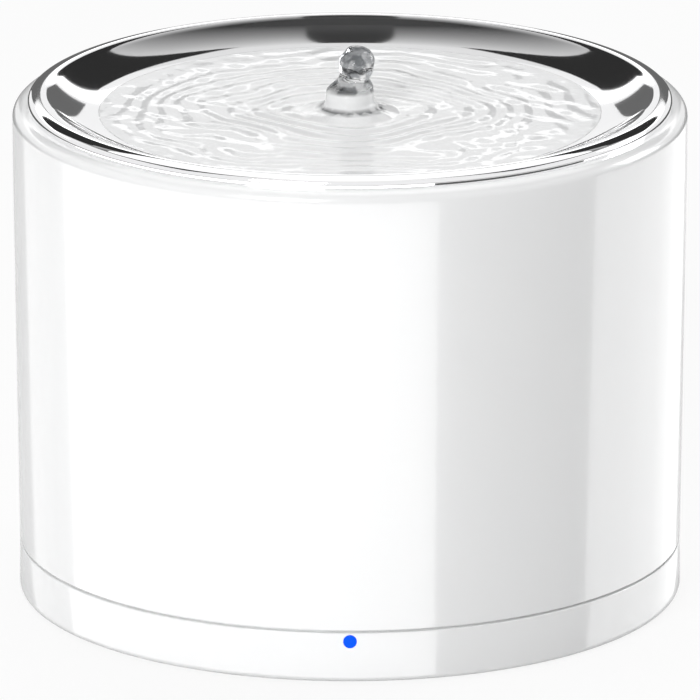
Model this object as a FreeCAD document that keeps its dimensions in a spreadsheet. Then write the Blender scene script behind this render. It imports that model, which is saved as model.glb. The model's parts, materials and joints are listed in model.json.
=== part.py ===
"""Pet water fountain: a round tank on a powered base, with a submersible pump, a round filter
and a steel drinking tray that carries a shallow pool of water with a bubbling jet.

Frame: origin at the centre of the footprint, +Z up, the indicator light faces -Y.
Units: millimetres and degrees.
"""
import FreeCAD, Part
import math
import os
import re

import Sketcher

# Driving dimensions: name, value, meaning.
DIMENSIONS = [
    ("tank_radius", 90.0, "widest outer radius of the tank"),
    ("tank_widest", 120.0, "height where the tank reaches its widest radius"),
    ("tank_foot_radius", 88.9, "outer radius of the tank just above the seam"),
    ("shoulder_height", 134.0, "top of the tank's shoulder"),
    ("shoulder_round", 3.0, "rounding of the shoulder"),
    ("wall", 2.8, "wall of the tank and the base"),
    ("mouth_radius", 83.4, "clear radius of the tank's mouth"),
    ("mouth_lip", 2.4, "thickness of the inward lip at the mouth"),
    ("mouth_slope", 3.0, "height of the slope under the inward lip"),
    ("floor_round", 6.0, "rounding between the tank's wall and floor"),
    ("ledge_height", 102.0, "top of the ledge that carries the filter carrier"),
    ("ledge_radius", 80.5, "clear radius inside the ledge"),
    ("ledge_edge", 1.5, "thickness of the ledge at its inner edge"),
    ("ledge_slope", 5.5, "height of the sloping underside of the ledge"),
    ("base_radius", 89.0, "outer radius of the base"),
    ("base_lift", 0.6, "gap between the base's lower edge and the surface it stands on"),
    ("base_edge", 1.6, "rounding of the base's lower edge"),
    ("base_height", 14.2, "top of the base, where the tank rests"),
    ("base_taper", 0.1, "how much narrower the base is at its top"),
    ("base_roof", 1.8, "thickness of the base's top plate"),
    ("seam_gap", 0.6, "height of the shadow gap between base and tank"),
    ("seam_depth", 1.4, "depth of the shadow gap"),
    ("seam_break", 0.3, "small bevel along the seam"),
    ("rabbet_radius", 84.4, "inner radius of the ring that the cover gasket meets"),
    ("rabbet_height", 4.0, "underside of that ring"),
    ("rabbet_thickness", 1.0, "thickness of that ring"),
    ("boss_radius", 28.0, "radius of the raised power dome on the base"),
    ("boss_height", 2.0, "height of the power dome"),
    ("boss_clearance", 0.4, "gap round the power dome"),
    ("boss_headroom", 0.2, "gap above the power dome"),
    ("tank_floor", 2.8, "thickness of the tank's floor"),
    ("seat_thickness", 2.6, "thickness of the tank's floor under the pump"),
    ("overrun", 1.0, "how far a cutting tool runs past the face that it cuts"),
    ("pump_ring_radius", 31.0, "inner radius of the ring that locates the pump"),
    ("pump_ring_wall", 2.0, "wall of that ring"),
    ("pump_ring_height", 3.0, "height of that ring above the pump's seat"),
    ("cover_radius", 86.0, "radius of the base cover"),
    ("cover_bottom", 1.2, "underside of the base cover"),
    ("cover_thickness", 2.0, "thickness of the base cover"),
    ("screw_circle", 72.0, "radius of the circle of cover screws"),
    ("screw_post_radius", 4.0, "radius of a screw post"),
    ("screw_radius", 1.25, "radius of a screw's shank"),
    ("screw_head_radius", 2.6, "radius of a screw's head"),
    ("screw_head_height", 1.2, "height of a screw's head"),
    ("screw_length", 8.0, "length of a screw under its head"),
    ("screw_clearance", 0.3, "gap round a screw in the cover"),
    ("screw_slot", 0.7, "width and depth of a screw's cross slot"),
    ("gasket_inset", 0.2, "gap between the gasket and the wall round it"),
    ("foot_circle", 68.0, "radius of the circle of rubber feet"),
    ("foot_radius", 7.0, "radius of a rubber foot"),
    ("foot_recess", 0.9, "depth of the recess that holds a foot"),
    ("foot_clearance", 0.2, "gap round a foot in its recess"),
    ("board_half_width", 20.0, "half the width of the main board"),
    ("board_half_length", 80.0, "half the length of the main board"),
    ("board_bottom", 5.0, "underside of the main board"),
    ("board_thickness", 1.6, "thickness of the main board"),
    ("post_radius", 1.6, "radius of a post under the main board"),
    ("post_inset", 4.0, "distance of a post from the board's long edge"),
    ("post_reach", 50.0, "distance of a post from the board's middle"),
    ("roof_gap", 0.2, "gap under the base's top plate and dome"),
    ("holder_inner", 12.0, "inner radius of the coil holder"),
    ("holder_outer", 16.0, "outer radius of the coil holder's foot"),
    ("holder_flange", 1.0, "thickness of the coil holder's flange"),
    ("light_height", 11.9, "height of the indicator light"),
    ("light_radius", 1.8, "radius of the light's lens"),
    ("light_depth", 1.4, "depth of the light's lens"),
    ("light_stem", 1.0, "radius of the light pipe's stem"),
    ("light_leg", 78.0, "distance of the light pipe's leg from the centre"),
    ("light_chip", 1.5, "height of the light-emitting chip"),
    ("light_chip_length", 3.0, "length of that chip"),
    ("light_chip_width", 2.6, "width of that chip"),
    ("light_gap", 0.2, "gap between that chip and the light pipe"),
    ("stem_clearance", 0.1, "gap round the light pipe's stem"),
    ("stem_bore_depth", 12.0, "depth of the bore for the stem"),
    ("inlet_height", 8.4, "height of the power inlet's axis"),
    ("inlet_half_width", 4.6, "half the width of the inlet's block"),
    ("inlet_back", 73.0, "distance of the inlet's rear face from the centre"),
    ("inlet_face", 86.0, "distance of the inlet's mouth from the centre"),
    ("inlet_bore", 2.9, "radius of the bore that takes a 5.5 mm plug"),
    ("inlet_pin", 1.0, "radius of the inlet's centre pin"),
    ("inlet_pin_face", 83.0, "distance of the pin's tip from the centre"),
    ("inlet_hole", 3.6, "radius of the hole in the base's wall for the plug"),
    ("inlet_hole_depth", 8.0, "depth of that hole"),
    ("inlet_end", 2.0, "thickness of the inlet's closed end"),
    ("button_angle", 11.5, "angle of the mode button from the rear, towards +X"),
    ("button_radius", 2.4, "radius of the mode button"),
    ("button_flange", 3.1, "radius of the button's collar inside the wall"),
    ("button_inner", 84.3, "distance of the button's inner face from the centre"),
    ("button_outer", 89.8, "distance of the button's outer face from the centre"),
    ("button_clearance", 0.3, "gap round the button"),
    ("button_collar", 1.4, "thickness of the button's collar"),
    ("button_hole_depth", 6.0, "depth of the button's hole"),
    ("switch_width", 6.0, "width of the switch"),
    ("switch_height", 4.6, "height of the switch"),
    ("switch_tip_radius", 1.2, "radius of the switch's tip"),
    ("switch_back", 76.0, "distance of the switch's rear face from the centre"),
    ("switch_face", 81.0, "distance of the switch's front face from the centre"),
    ("switch_tip", 83.3, "distance of the switch's tip from the centre"),
    ("coil_outer", 24.0, "outer radius of both power coils"),
    ("coil_inner", 9.0, "inner radius of the sending coil"),
    ("coil_thickness", 2.4, "thickness of the sending coil"),
    ("ferrite_radius", 25.0, "radius of the ferrite plate"),
    ("ferrite_thickness", 1.8, "thickness of the ferrite plate"),
    ("pump_foot_height", 2.0, "height of the pump's rubber feet"),
    ("pump_foot_radius", 4.0, "radius of a pump foot"),
    ("pump_foot_circle", 20.0, "radius of the circle of pump feet"),
    ("pump_radius", 28.0, "outer radius of the pump"),
    ("pump_wall", 2.2, "wall of the pump's housing"),
    ("pump_body_height", 25.0, "height of the pump's housing"),
    ("pump_cap_radius", 26.4, "radius of the cap under the pump's housing"),
    ("pump_cap_thickness", 2.0, "thickness of that cap"),
    ("receiver_inner", 12.0, "inner radius of the receiving coil"),
    ("receiver_thickness", 3.0, "thickness of the receiving coil"),
    ("drive_gap", 0.3, "gap between the pump's drive parts and its housing"),
    ("well_radius", 8.5, "radius of the well for the rotor"),
    ("well_wall", 1.5, "wall of that well"),
    ("well_depth", 16.0, "depth of that well"),
    ("core_inner", 19.0, "inner radius of the stator's ring"),
    ("core_outer", 24.5, "outer radius of the stator's ring"),
    ("core_height", 11.0, "height of the stator"),
    ("core_pole_width", 6.0, "width of a stator pole"),
    ("core_pole_face", 10.6, "distance of a pole's face from the axis"),
    ("pole_root", 1.0, "length of a pole inside the stator's ring"),
    ("pole_inset", 2.0, "distance of a pole from the stator's upper and lower faces"),
    ("winding_inset", 1.4, "distance of a winding from its pole's face and the ring"),
    ("winding_margin", 0.5, "distance of a winding from the stator's upper and lower faces"),
    ("winding_depth", 3.0, "thickness of a stator winding round its pole"),
    ("shaft_radius", 1.0, "radius of the ceramic shaft"),
    ("shaft_length", 25.0, "length of the ceramic shaft"),
    ("running_fit", 0.05, "radial clearance between impeller and shaft"),
    ("hub_radius", 2.4, "radius of the impeller's hub"),
    ("rotor_lift", 0.8, "gap under the rotor"),
    ("magnet_radius", 7.6, "radius of the rotor magnet"),
    ("magnet_height", 14.0, "height of the rotor magnet"),
    ("magnet_lift", 0.4, "height of the magnet above the hub's end"),
    ("impeller_radius", 13.0, "radius of the impeller"),
    ("impeller_plate", 1.2, "thickness of the impeller's plate"),
    ("vane_height", 4.0, "height of an impeller vane"),
    ("vane_thickness", 1.2, "thickness of an impeller vane"),
    ("vane_root", 0.4, "how far a vane runs into the hub"),
    ("vane_sink", 0.2, "how far a vane runs into the plate"),
    ("chamber_radius", 16.0, "radius of the pumping chamber"),
    ("chamber_height", 8.0, "height of the pumping chamber"),
    ("pump_cover_height", 10.0, "height of the pump's cover"),
    ("intake_width", 4.0, "width of an intake slot"),
    ("intake_height", 4.0, "height of an intake slot"),
    ("intake_sill", 0.8, "height of the sill under an intake slot"),
    ("bush_wall", 1.2, "wall of the shaft's upper bush"),
    ("bush_height", 1.8, "height of that bush"),
    ("outlet_radius", 5.0, "outer radius of the pump's outlet"),
    ("outlet_bore", 3.8, "bore of the pump's outlet"),
    ("outlet_length", 10.0, "length of the pump's outlet"),
    ("spider_rib", 1.0, "thickness of a rib that carries the bush"),
    ("spider_height", 1.5, "height of such a rib"),
    ("spider_root", 0.4, "how far a rib runs into the outlet's wall"),
    ("foam_radius", 36.0, "outer radius of the foam sleeve"),
    ("foam_height", 11.0, "height of the foam sleeve"),
    ("foam_sink", 0.6, "how far the foam reaches below the pump's deck"),
    ("riser_radius", 6.6, "outer radius of the riser tube"),
    ("riser_top", 121.0, "top of the riser tube"),
    ("carrier_radius", 82.8, "outer radius of the filter carrier"),
    ("carrier_wall", 2.0, "wall of the filter carrier"),
    ("carrier_height", 14.0, "height of the filter carrier's wall"),
    ("column_bore", 9.0, "bore of the carrier's column"),
    ("column_height", 16.0, "height of the carrier's column"),
    ("carrier_slot_start", 18.0, "inner end of a drain slot"),
    ("carrier_slot_end", 74.0, "outer end of a drain slot"),
    ("carrier_slot_width", 4.0, "width of a drain slot"),
    ("filter_radius", 80.2, "outer radius of the filter's frame"),
    ("filter_bore", 11.6, "bore of the filter's frame"),
    ("filter_wall", 1.6, "wall of the filter's frame"),
    ("filter_height", 11.5, "height of the filter's frame"),
    ("filter_spoke", 1.0, "thickness of the frame's spokes"),
    ("spoke_width", 3.0, "width of the frame's spokes"),
    ("spoke_root", 0.4, "how far a spoke runs into the frame's rings"),
    ("pad_thickness", 2.4, "thickness of each filter pad"),
    ("granule_depth", 5.6, "depth of the granules between the pads"),
    ("tray_radius", 86.0, "outer radius of the tray's lip"),
    ("crest_roll", 6.0, "radius of the lip's rounded crest"),
    ("crest_height", 131.1, "height of the crest's centre of curvature"),
    ("crest_turn", 20.0, "outward slope where the crest runs into the lip's edge"),
    ("edge_roll", 2.0, "radius of the lip's outer edge"),
    ("tray_sheet", 0.9, "thickness of the tray's sheet"),
    ("wall_slope", 31.39, "slope of the dish's wall where it leaves the crest"),
    ("wall_curve", 32.44, "radius of curvature of the dish's wall"),
    ("floor_curve", 474.0, "radius of curvature of the dish's floor"),
    ("floor_edge", 67.2, "radius where the dish's floor runs into its wall"),
    ("dish_hole", 8.2, "radius of the hole at the dish's centre"),
    ("drain_circle", 22.0, "radius of the circle of drain holes"),
    ("drain_radius", 2.4, "radius of a drain hole"),
    ("drain_reach", 15.0, "how far the drain holes' tools reach below the water's level"),
    ("nozzle_radius", 8.0, "outer radius of the spout nozzle"),
    ("nozzle_socket", 6.9, "bore that slips over the riser tube"),
    ("nozzle_bottom", 112.0, "lower end of the nozzle"),
    ("nozzle_step", 122.0, "height where the nozzle's bore narrows"),
    ("nozzle_bore", 4.5, "radius of the spout"),
    ("nozzle_flange", 13.0, "radius of the nozzle's flange"),
    ("nozzle_flange_bottom", 128.2, "underside of the nozzle's flange"),
    ("nozzle_flange_top", 129.7, "top of the nozzle's flange"),
    ("flange_bevel", 0.8, "bevel of the nozzle's flange"),
    ("nozzle_cone", 0.8, "height of the cone between the nozzle's two bores"),
    ("nut_bottom", 121.8, "underside of the nozzle nut"),
    ("nut_height", 4.2, "height of the nozzle nut"),
    ("nut_radius", 13.5, "radius of the nozzle nut"),
    ("seal_height", 1.0, "thickness of the nozzle seal"),
    ("seal_inset", 0.6, "distance of the seal from the flange's edge"),
    ("water_level", 131.8, "height of the still water, where it meets the dish's wall"),
    ("water_radius", 67.1, "radius of the pool at its edge"),
    ("water_gap", 0.03, "film between water and steel"),
    ("nozzle_film", 0.05, "film between water and nozzle"),
    ("swell_reach", 6.0, "width of the pool's sloping edge"),
    ("swell_height", 0.2, "height of the pool inside that edge, above its level"),
    ("jet_root_height", 0.5, "height of the pool where the jet leaves it"),
    ("jet_root", 14.0, "radius where the jet leaves the pool"),
    ("jet_flare", 7.5, "radius of the jet's foot"),
    ("jet_flare_height", 4.0, "height of the jet's foot"),
    ("jet_waist", 6.0, "radius of the jet half way up"),
    ("jet_head", 4.6, "radius of the jet near its top"),
    ("jet_crown", 4.0, "distance from the jet's head to its top"),
    ("jet_tip", 0.8, "height of the jet's rounded tip"),
    ("jet_top", 150.0, "top of the water jet"),
]

FASTENER_COUNT = 6
FOOT_COUNT = 4
PUMP_FOOT_COUNT = 3
POLE_COUNT = 4
VANE_COUNT = 6
SPIDER_COUNT = 3
INTAKE_PAIRS = 3
CARRIER_SLOT_COUNT = 20
SPOKE_COUNT = 6
DRAIN_COUNT = 8

# Square parts on the main board: length, width, height, lowest X and lowest Y.
BOARD_CHIPS = [("8", "8", "1.6", "-14", "-58"), ("6", "5", "1.6", "6", "-62"), ("9", "6", "1.8", "-4", "42")]
# Round parts on the main board: radius, height, X and Y.
BOARD_CANS = [
    ("3.2", "3.6", "10", "-46"), ("3.2", "3.6", "-10", "56"),
    ("2.5", "4.2", "11", "52"), ("2.5", "4.2", "-10", "-42"),
]

BOARD_TOP = "(board_bottom + board_thickness)"
COVER_TOP = "(cover_bottom + cover_thickness)"
PUMP_SEAT = "(base_height + boss_height + boss_headroom + seat_thickness)"
PUMP_BOTTOM = f"({PUMP_SEAT} + pump_foot_height)"
PUMP_DECK = f"({PUMP_BOTTOM} + pump_body_height)"
WELL_FLOOR = f"({PUMP_DECK} - well_depth)"

ALIASES = re.compile(r"\b(" + "|".join(name for name, _, _ in DIMENSIONS) + r")\b")
UPWARD = FreeCAD.Vector(0, 0, 1)

doc = FreeCAD.newDocument("pet_water_fountain")
sheet = doc.addObject("Spreadsheet::Sheet", "dims")
subparts = {}


def fill_sheet():
    """Writes the driving dimensions into the sheet: value, alias and meaning."""
    for row, (name, value, meaning) in enumerate(DIMENSIONS, start=1):
        sheet.set(f"A{row}", str(value))
        sheet.setAlias(f"A{row}", name)
        sheet.set(f"B{row}", name)
        sheet.set(f"C{row}", meaning)
    doc.recompute()


def cell(expression):
    """Returns an expression with each dimension written as a cell of the sheet."""
    return ALIASES.sub(r"dims.\1", expression)


def number(expression):
    """Returns the present value of an expression of dimensions."""
    return float(sheet.evalExpression(cell(expression)))


def keep(name, piece):
    """Registers a finished sub-part under the name of its file."""
    piece.Label = name
    subparts[name] = piece
    return piece


def bind(piece, **properties):
    """Binds properties of a feature to expressions of dimensions."""
    for name, expression in properties.items():
        piece.setExpression(name, cell(expression))
    return piece


def place(piece, foot, turn=FreeCAD.Rotation()):
    """Puts a primitive's own origin at foot (three expressions) with a fixed turn."""
    piece.Placement = FreeCAD.Placement(FreeCAD.Vector(), turn)
    for axis, expression in zip("xyz", foot):
        piece.setExpression(f"Placement.Base.{axis}", cell(expression))
    return piece


def rod(radius, length, foot=("0", "0", "0"), along=UPWARD):
    """Makes a round bar that starts at foot and runs along a direction."""
    piece = bind(doc.addObject("Part::Cylinder", "rod"), Radius=radius, Height=length)
    return place(piece, foot, FreeCAD.Rotation(UPWARD, along))


def block(size, corner, angle=0.0):
    """Makes a box from its lowest corner, turned about Z by an angle."""
    piece = doc.addObject("Part::Box", "block")
    bind(piece, Length=size[0], Width=size[1], Height=size[2])
    return place(piece, corner, FreeCAD.Rotation(UPWARD, angle))


def ray_block(start, length, width, bottom, height, angle):
    """Makes a bar that lies along a ray from the Z axis at an angle, centred on the ray."""
    corner = (
        f"({start}) * cos({angle}) + ({width}) / 2 * sin({angle})",
        f"({start}) * sin({angle}) - ({width}) / 2 * cos({angle})",
        bottom,
    )
    return block((length, width, height), corner, angle)


def on_circle(circle, angle, height):
    """Returns the place on a circle round the Z axis, as three expressions."""
    return (f"({circle}) * cos({angle})", f"({circle}) * sin({angle})", height)


def steps(count, first=0.0):
    """Returns count angles evenly spread over a turn."""
    return [first + 360.0 * index / count for index in range(count)]


def joined(pieces):
    """Fuses several pieces into one."""
    fusion = doc.addObject("Part::MultiFuse", "joined")
    fusion.Shapes = pieces
    return fusion


def grouped(pieces):
    """Groups separate solids, such as screws, as one sub-part."""
    group = doc.addObject("Part::Compound", "grouped")
    group.Links = pieces
    return group


def carved(base, tools):
    """Cuts tools out of a base."""
    result = doc.addObject("Part::Cut", "carved")
    result.Base = base
    result.Tool = tools[0] if len(tools) == 1 else joined(tools)
    return result


def arc_between(start, end, radius, side):
    """Returns the short arc from start to end with its centre on the given side of the path."""
    chord = end - start
    middle = (start + end) * 0.5
    reach = math.sqrt(max(radius ** 2 - (chord.Length / 2) ** 2, 0.0))
    normal = FreeCAD.Vector(-chord.y, chord.x, 0).normalize()
    centre = middle + normal * (reach if side == "left" else -reach)
    first, last = (start, end) if side == "left" else (end, start)
    angle_from = math.atan2(first.y - centre.y, first.x - centre.x)
    angle_to = math.atan2(last.y - centre.y, last.x - centre.x)
    return Part.ArcOfCircle(Part.Circle(centre, UPWARD, radius), angle_from, angle_to)


def draw_loop(sketch, corners):
    """Draws a closed outline whose every corner is held by the sheet.

    A corner is (across, up), or (across, up, radius, side) where an arc leads on to the
    next corner with its centre on the left or right of the path.
    """
    points = [FreeCAD.Vector(number(corner[0]), number(corner[1]), 0) for corner in corners]
    heads, tails = [], []
    for index, corner in enumerate(corners):
        start, end = points[index], points[(index + 1) % len(points)]
        if len(corner) == 2:
            edge = sketch.addGeometry(Part.LineSegment(start, end), False)
            head, tail = 1, 2
        else:
            radius, side = corner[2:]
            edge = sketch.addGeometry(arc_between(start, end, number(radius), side), False)
            head, tail = (1, 2) if side == "left" else (2, 1)
        heads.append((edge, head))
        tails.append((edge, tail))
    for index, head in enumerate(heads):
        sketch.addConstraint(Sketcher.Constraint("Coincident", *tails[index - 1], *head))
    for head, corner, point in zip(heads, corners, points):
        across = sketch.addConstraint(Sketcher.Constraint("DistanceX", -1, 1, *head, point.x))
        sketch.setExpression(f"Constraints[{across}]", cell(corner[0]))
        up = sketch.addConstraint(Sketcher.Constraint("DistanceY", -1, 1, *head, point.y))
        sketch.setExpression(f"Constraints[{up}]", cell(corner[1]))
        if len(corner) == 4:
            size = sketch.addConstraint(Sketcher.Constraint("Radius", head[0], number(corner[2])))
            sketch.setExpression(f"Constraints[{size}]", cell(corner[2]))


def turned(name, corners):
    """Makes a body by turning an outline, given as radius and height, about the Z axis."""
    body = doc.addObject("PartDesign::Body", name)
    sketch = body.newObject("Sketcher::SketchObject", name + "_outline")
    planes = [plane for plane in body.Origin.OriginFeatures if plane.Role == "XZ_Plane"]
    sketch.AttachmentSupport = (planes[0], [""])
    sketch.MapMode = "FlatFace"
    draw_loop(sketch, corners)
    turn = body.newObject("PartDesign::Revolution", name + "_turn")
    turn.Profile = sketch
    turn.ReferenceAxis = (sketch, ["V_Axis"])
    turn.Angle = 360.0
    sketch.Visibility = False
    return body


def ring(name, inner, outer, bottom, height):
    """Makes a plain ring of square section."""
    top = f"({bottom}) + ({height})"
    return turned(name, [(inner, bottom), (outer, bottom), (outer, top), (inner, top)])


def dish_height(radius, lift="0"):
    """Returns the height of the dish's floor at a radius, moved up by lift."""
    centre = "water_level + sqrt(floor_curve^2 - floor_edge^2)"
    return f"{centre} - sqrt((floor_curve - ({lift}))^2 - ({radius})^2)"


def radial(angle):
    """Returns the level direction at an angle from the +X axis."""
    return FreeCAD.Vector(math.cos(math.radians(angle)), math.sin(math.radians(angle)), 0)


def make_base_shell():
    """Base shell: round wall and top plate with the raised power dome, open underneath."""
    inner = "base_radius - wall"
    roof_under = "base_height - base_roof"
    dome_top = "base_height + boss_height"
    ledge_top = "rabbet_height + rabbet_thickness"
    shell = turned("base_shell_body", [
        ("base_radius - base_edge", "base_lift", "base_edge", "left"),
        ("base_radius", "base_lift + base_edge"),
        ("base_radius - base_taper", "base_height - seam_break"),
        ("base_radius - base_taper - seam_break", "base_height"),
        ("boss_radius", "base_height"),
        ("boss_radius", dome_top),
        ("0", dome_top),
        ("0", f"{dome_top} - base_roof"),
        ("boss_radius - base_roof", f"{dome_top} - base_roof"),
        ("boss_radius - base_roof", roof_under),
        (inner, roof_under),
        (inner, ledge_top),
        ("rabbet_radius", ledge_top),
        ("rabbet_radius", "rabbet_height"),
        (inner, "rabbet_height"),
        (inner, "base_lift"),
    ])
    posts = [
        rod("screw_post_radius", f"{roof_under} - {COVER_TOP}",
            on_circle("screw_circle", angle, COVER_TOP))
        for angle in steps(FASTENER_COUNT)
    ]
    pilot_foot = "cover_bottom + screw_head_height"
    pilots = [
        rod("screw_radius", "screw_length", on_circle("screw_circle", angle, pilot_foot))
        for angle in steps(FASTENER_COUNT)
    ]
    lens_seat = rod("light_radius", "light_depth + overrun", ("0", "-base_radius - overrun", "light_height"),
                    radial(90))
    stem_bore = rod("light_stem + stem_clearance", "stem_bore_depth", ("0", "-base_radius", "light_height"),
                    radial(90))
    plug_hole = rod("inlet_hole", "inlet_hole_depth", ("0", "inlet_face", "inlet_height"), radial(90))
    button_hole = rod(
        "button_radius + button_clearance", "button_hole_depth",
        on_circle("button_outer + overrun - button_hole_depth", "90 - button_angle", "inlet_height"),
        radial(90 - number("button_angle")),
    )
    keep("base_shell", carved(
        joined([shell] + posts),
        pilots + [lens_seat, stem_bore, plug_hole, button_hole],
    ))


def make_base_cover():
    """Base cover: the screwed disc under the base, with recesses for the feet."""
    plate = rod("cover_radius", "cover_thickness", ("0", "0", "cover_bottom"))
    posts = [
        rod("post_radius", f"board_bottom - {COVER_TOP}",
            (f"{x} * (board_half_width - post_inset)", f"{y} * post_reach", COVER_TOP))
        for x in (-1, 1) for y in (-1, 1)
    ]
    shanks = [
        rod("screw_radius + screw_clearance", "cover_thickness",
            on_circle("screw_circle", angle, "cover_bottom"))
        for angle in steps(FASTENER_COUNT)
    ]
    heads = [
        rod("screw_head_radius + screw_clearance", "screw_head_height",
            on_circle("screw_circle", angle, "cover_bottom"))
        for angle in steps(FASTENER_COUNT)
    ]
    recesses = [
        rod("foot_radius + foot_clearance", "foot_recess", on_circle("foot_circle", angle, "cover_bottom"))
        for angle in steps(FOOT_COUNT, 45)
    ]
    keep("base_cover", carved(joined([plate] + posts), shanks + heads + recesses))
    keep("cover_gasket", ring("cover_gasket_body", "rabbet_radius + gasket_inset", "cover_radius", COVER_TOP,
                              f"rabbet_height - {COVER_TOP}"))


def make_cover_screws():
    """Cover screws: six pan-head screws, each one solid with a cross slot."""
    screws = []
    for angle in steps(FASTENER_COUNT):
        place_at = on_circle("screw_circle", angle, "cover_bottom")
        head = rod("screw_head_radius", "screw_head_height", place_at)
        shank = rod("screw_radius", "screw_head_height + screw_length", place_at)
        x, y, _ = place_at
        slot = block(("screw_head_radius", "screw_slot", "screw_slot"),
                     (f"{x} - screw_head_radius / 2", f"{y} - screw_slot / 2", "cover_bottom"))
        cross = block(("screw_slot", "screw_head_radius", "screw_slot"),
                      (f"{x} - screw_slot / 2", f"{y} - screw_head_radius / 2", "cover_bottom"))
        screws.append(carved(joined([head, shank]), [slot, cross]))
    keep("cover_screws", grouped(screws))


def make_base_feet():
    """Base feet: four round rubber pads that stand proud of the cover."""
    feet = [
        rod("foot_radius", "cover_bottom + foot_recess", on_circle("foot_circle", angle, "0"))
        for angle in steps(FOOT_COUNT, 45)
    ]
    keep("base_feet", grouped(feet))


def make_electronics():
    """Main board, its components, the sending coil and its ferrite and holder."""
    keep("main_board", block(
        ("2 * board_half_width", "2 * board_half_length", "board_thickness"),
        ("-board_half_width", "-board_half_length", "board_bottom"),
    ))
    chips = [
        block((length, width, height), (x, y, BOARD_TOP))
        for length, width, height, x, y in BOARD_CHIPS
    ]
    cans = [rod(radius, height, (x, y, BOARD_TOP)) for radius, height, x, y in BOARD_CANS]
    keep("board_components", grouped(chips + cans))
    coil_bottom = "(base_height + boss_height - base_roof - roof_gap - coil_thickness)"
    ferrite_bottom = f"({coil_bottom} - ferrite_thickness)"
    keep("transmitter_coil", ring("transmitter_coil_body", "coil_inner", "coil_outer", coil_bottom,
                                  "coil_thickness"))
    keep("coil_ferrite", rod("ferrite_radius", "ferrite_thickness", ("0", "0", ferrite_bottom)))
    flange_bottom = f"{ferrite_bottom} - holder_flange"
    keep("coil_holder", turned("coil_holder_body", [
        ("holder_inner", BOARD_TOP), ("holder_outer", BOARD_TOP), ("holder_outer", flange_bottom),
        ("ferrite_radius", flange_bottom), ("ferrite_radius", ferrite_bottom),
        ("holder_inner", ferrite_bottom),
    ]))


def make_light():
    """Indicator light: a chip on the board and a bent light pipe that ends in the round lens."""
    keep("led_chip", block(
        ("light_chip_length", "light_chip_width", "light_chip"),
        ("-light_chip_length / 2", "-light_leg - light_chip_width / 2", BOARD_TOP),
    ))
    front = ("0", "-base_radius", "light_height")
    leg_foot = f"({BOARD_TOP} + light_chip + light_gap)"
    lens = rod("light_radius", "light_depth", front, radial(90))
    stem = rod("light_stem", "base_radius - light_leg", front, radial(90))
    leg = rod("light_stem", f"light_height - {leg_foot}", ("0", "-light_leg", leg_foot))
    keep("light_pipe", joined([lens, stem, leg]))


def make_power_inlet():
    """Power inlet at the rear: a block with a round socket and a recessed centre pin."""
    body = block(
        ("2 * inlet_half_width", "inlet_face - inlet_back",
         f"base_height - base_roof - roof_gap - {BOARD_TOP}"),
        ("-inlet_half_width", "inlet_back", BOARD_TOP),
    )
    bore_end = ("0", "inlet_back + inlet_end", "inlet_height")
    inlet = keep("power_inlet", doc.addObject("Part::Common", "inlet_block"))
    bore = rod("inlet_bore", "inlet_face - inlet_back - inlet_end", bore_end, radial(90))
    inlet.Base = carved(body, [bore])
    inlet.Tool = rod("rabbet_radius - gasket_inset", "base_height")
    keep("inlet_pin", rod("inlet_pin", "inlet_pin_face - inlet_back - inlet_end", bore_end, radial(90)))


def make_mode_button():
    """Mode button in the rear wall, and the switch that it presses."""
    ray = 90 - number("button_angle")
    inner = on_circle("button_inner", "90 - button_angle", "inlet_height")
    cap = rod("button_radius", "button_outer - button_inner", inner, radial(ray))
    collar = rod("button_flange", "button_collar", inner, radial(ray))
    keep("mode_button", joined([cap, collar]))
    body = ray_block("switch_back", "switch_face - switch_back", "switch_width", BOARD_TOP,
                     "switch_height", ray)
    tip = rod("switch_tip_radius", "switch_tip - switch_face",
              on_circle("switch_face", "90 - button_angle", "inlet_height"), radial(ray))
    keep("button_switch", joined([body, tip]))


def make_tank():
    """Tank: the tapered round shell with a rounded shoulder, an inner ledge and a pump seat."""
    recess_top = "base_height + boss_height + boss_headroom"
    floor_top = "base_height + tank_floor"
    foot_inner = "tank_foot_radius - wall"
    upper_inner = "tank_radius - wall"
    seam_top = "base_height + seam_gap"
    ring_outer = "pump_ring_radius + pump_ring_wall"
    slope = f"(({upper_inner}) - ({foot_inner})) / (tank_widest - ({floor_top}) - floor_round)"

    def inner_at(height):
        return f"({foot_inner}) + {slope} * (({height}) - ({floor_top}) - floor_round)"

    keep("tank", turned("tank_body", [
        ("0", recess_top),
        ("boss_radius + boss_clearance", recess_top),
        ("boss_radius + boss_clearance", "base_height"),
        ("tank_foot_radius - seam_depth", "base_height"),
        ("tank_foot_radius - seam_depth", seam_top),
        ("tank_foot_radius - seam_break", seam_top),
        ("tank_foot_radius", f"{seam_top} + seam_break"),
        ("tank_radius", "tank_widest"),
        ("tank_radius", "shoulder_height - shoulder_round", "shoulder_round", "left"),
        ("tank_radius - shoulder_round", "shoulder_height"),
        ("mouth_radius", "shoulder_height"),
        ("mouth_radius", "shoulder_height - mouth_lip"),
        (upper_inner, "shoulder_height - mouth_lip - mouth_slope"),
        (upper_inner, "tank_widest"),
        (inner_at("ledge_height"), "ledge_height"),
        ("ledge_radius", "ledge_height"),
        ("ledge_radius", "ledge_height - ledge_edge"),
        (inner_at("ledge_height - ledge_edge - ledge_slope"), "ledge_height - ledge_edge - ledge_slope"),
        (foot_inner, f"{floor_top} + floor_round", "floor_round", "right"),
        (f"{foot_inner} - floor_round", floor_top),
        (ring_outer, floor_top),
        (ring_outer, f"{PUMP_SEAT} + pump_ring_height"),
        ("pump_ring_radius", f"{PUMP_SEAT} + pump_ring_height"),
        ("pump_ring_radius", PUMP_SEAT),
        ("0", PUMP_SEAT),
    ]))


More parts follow.
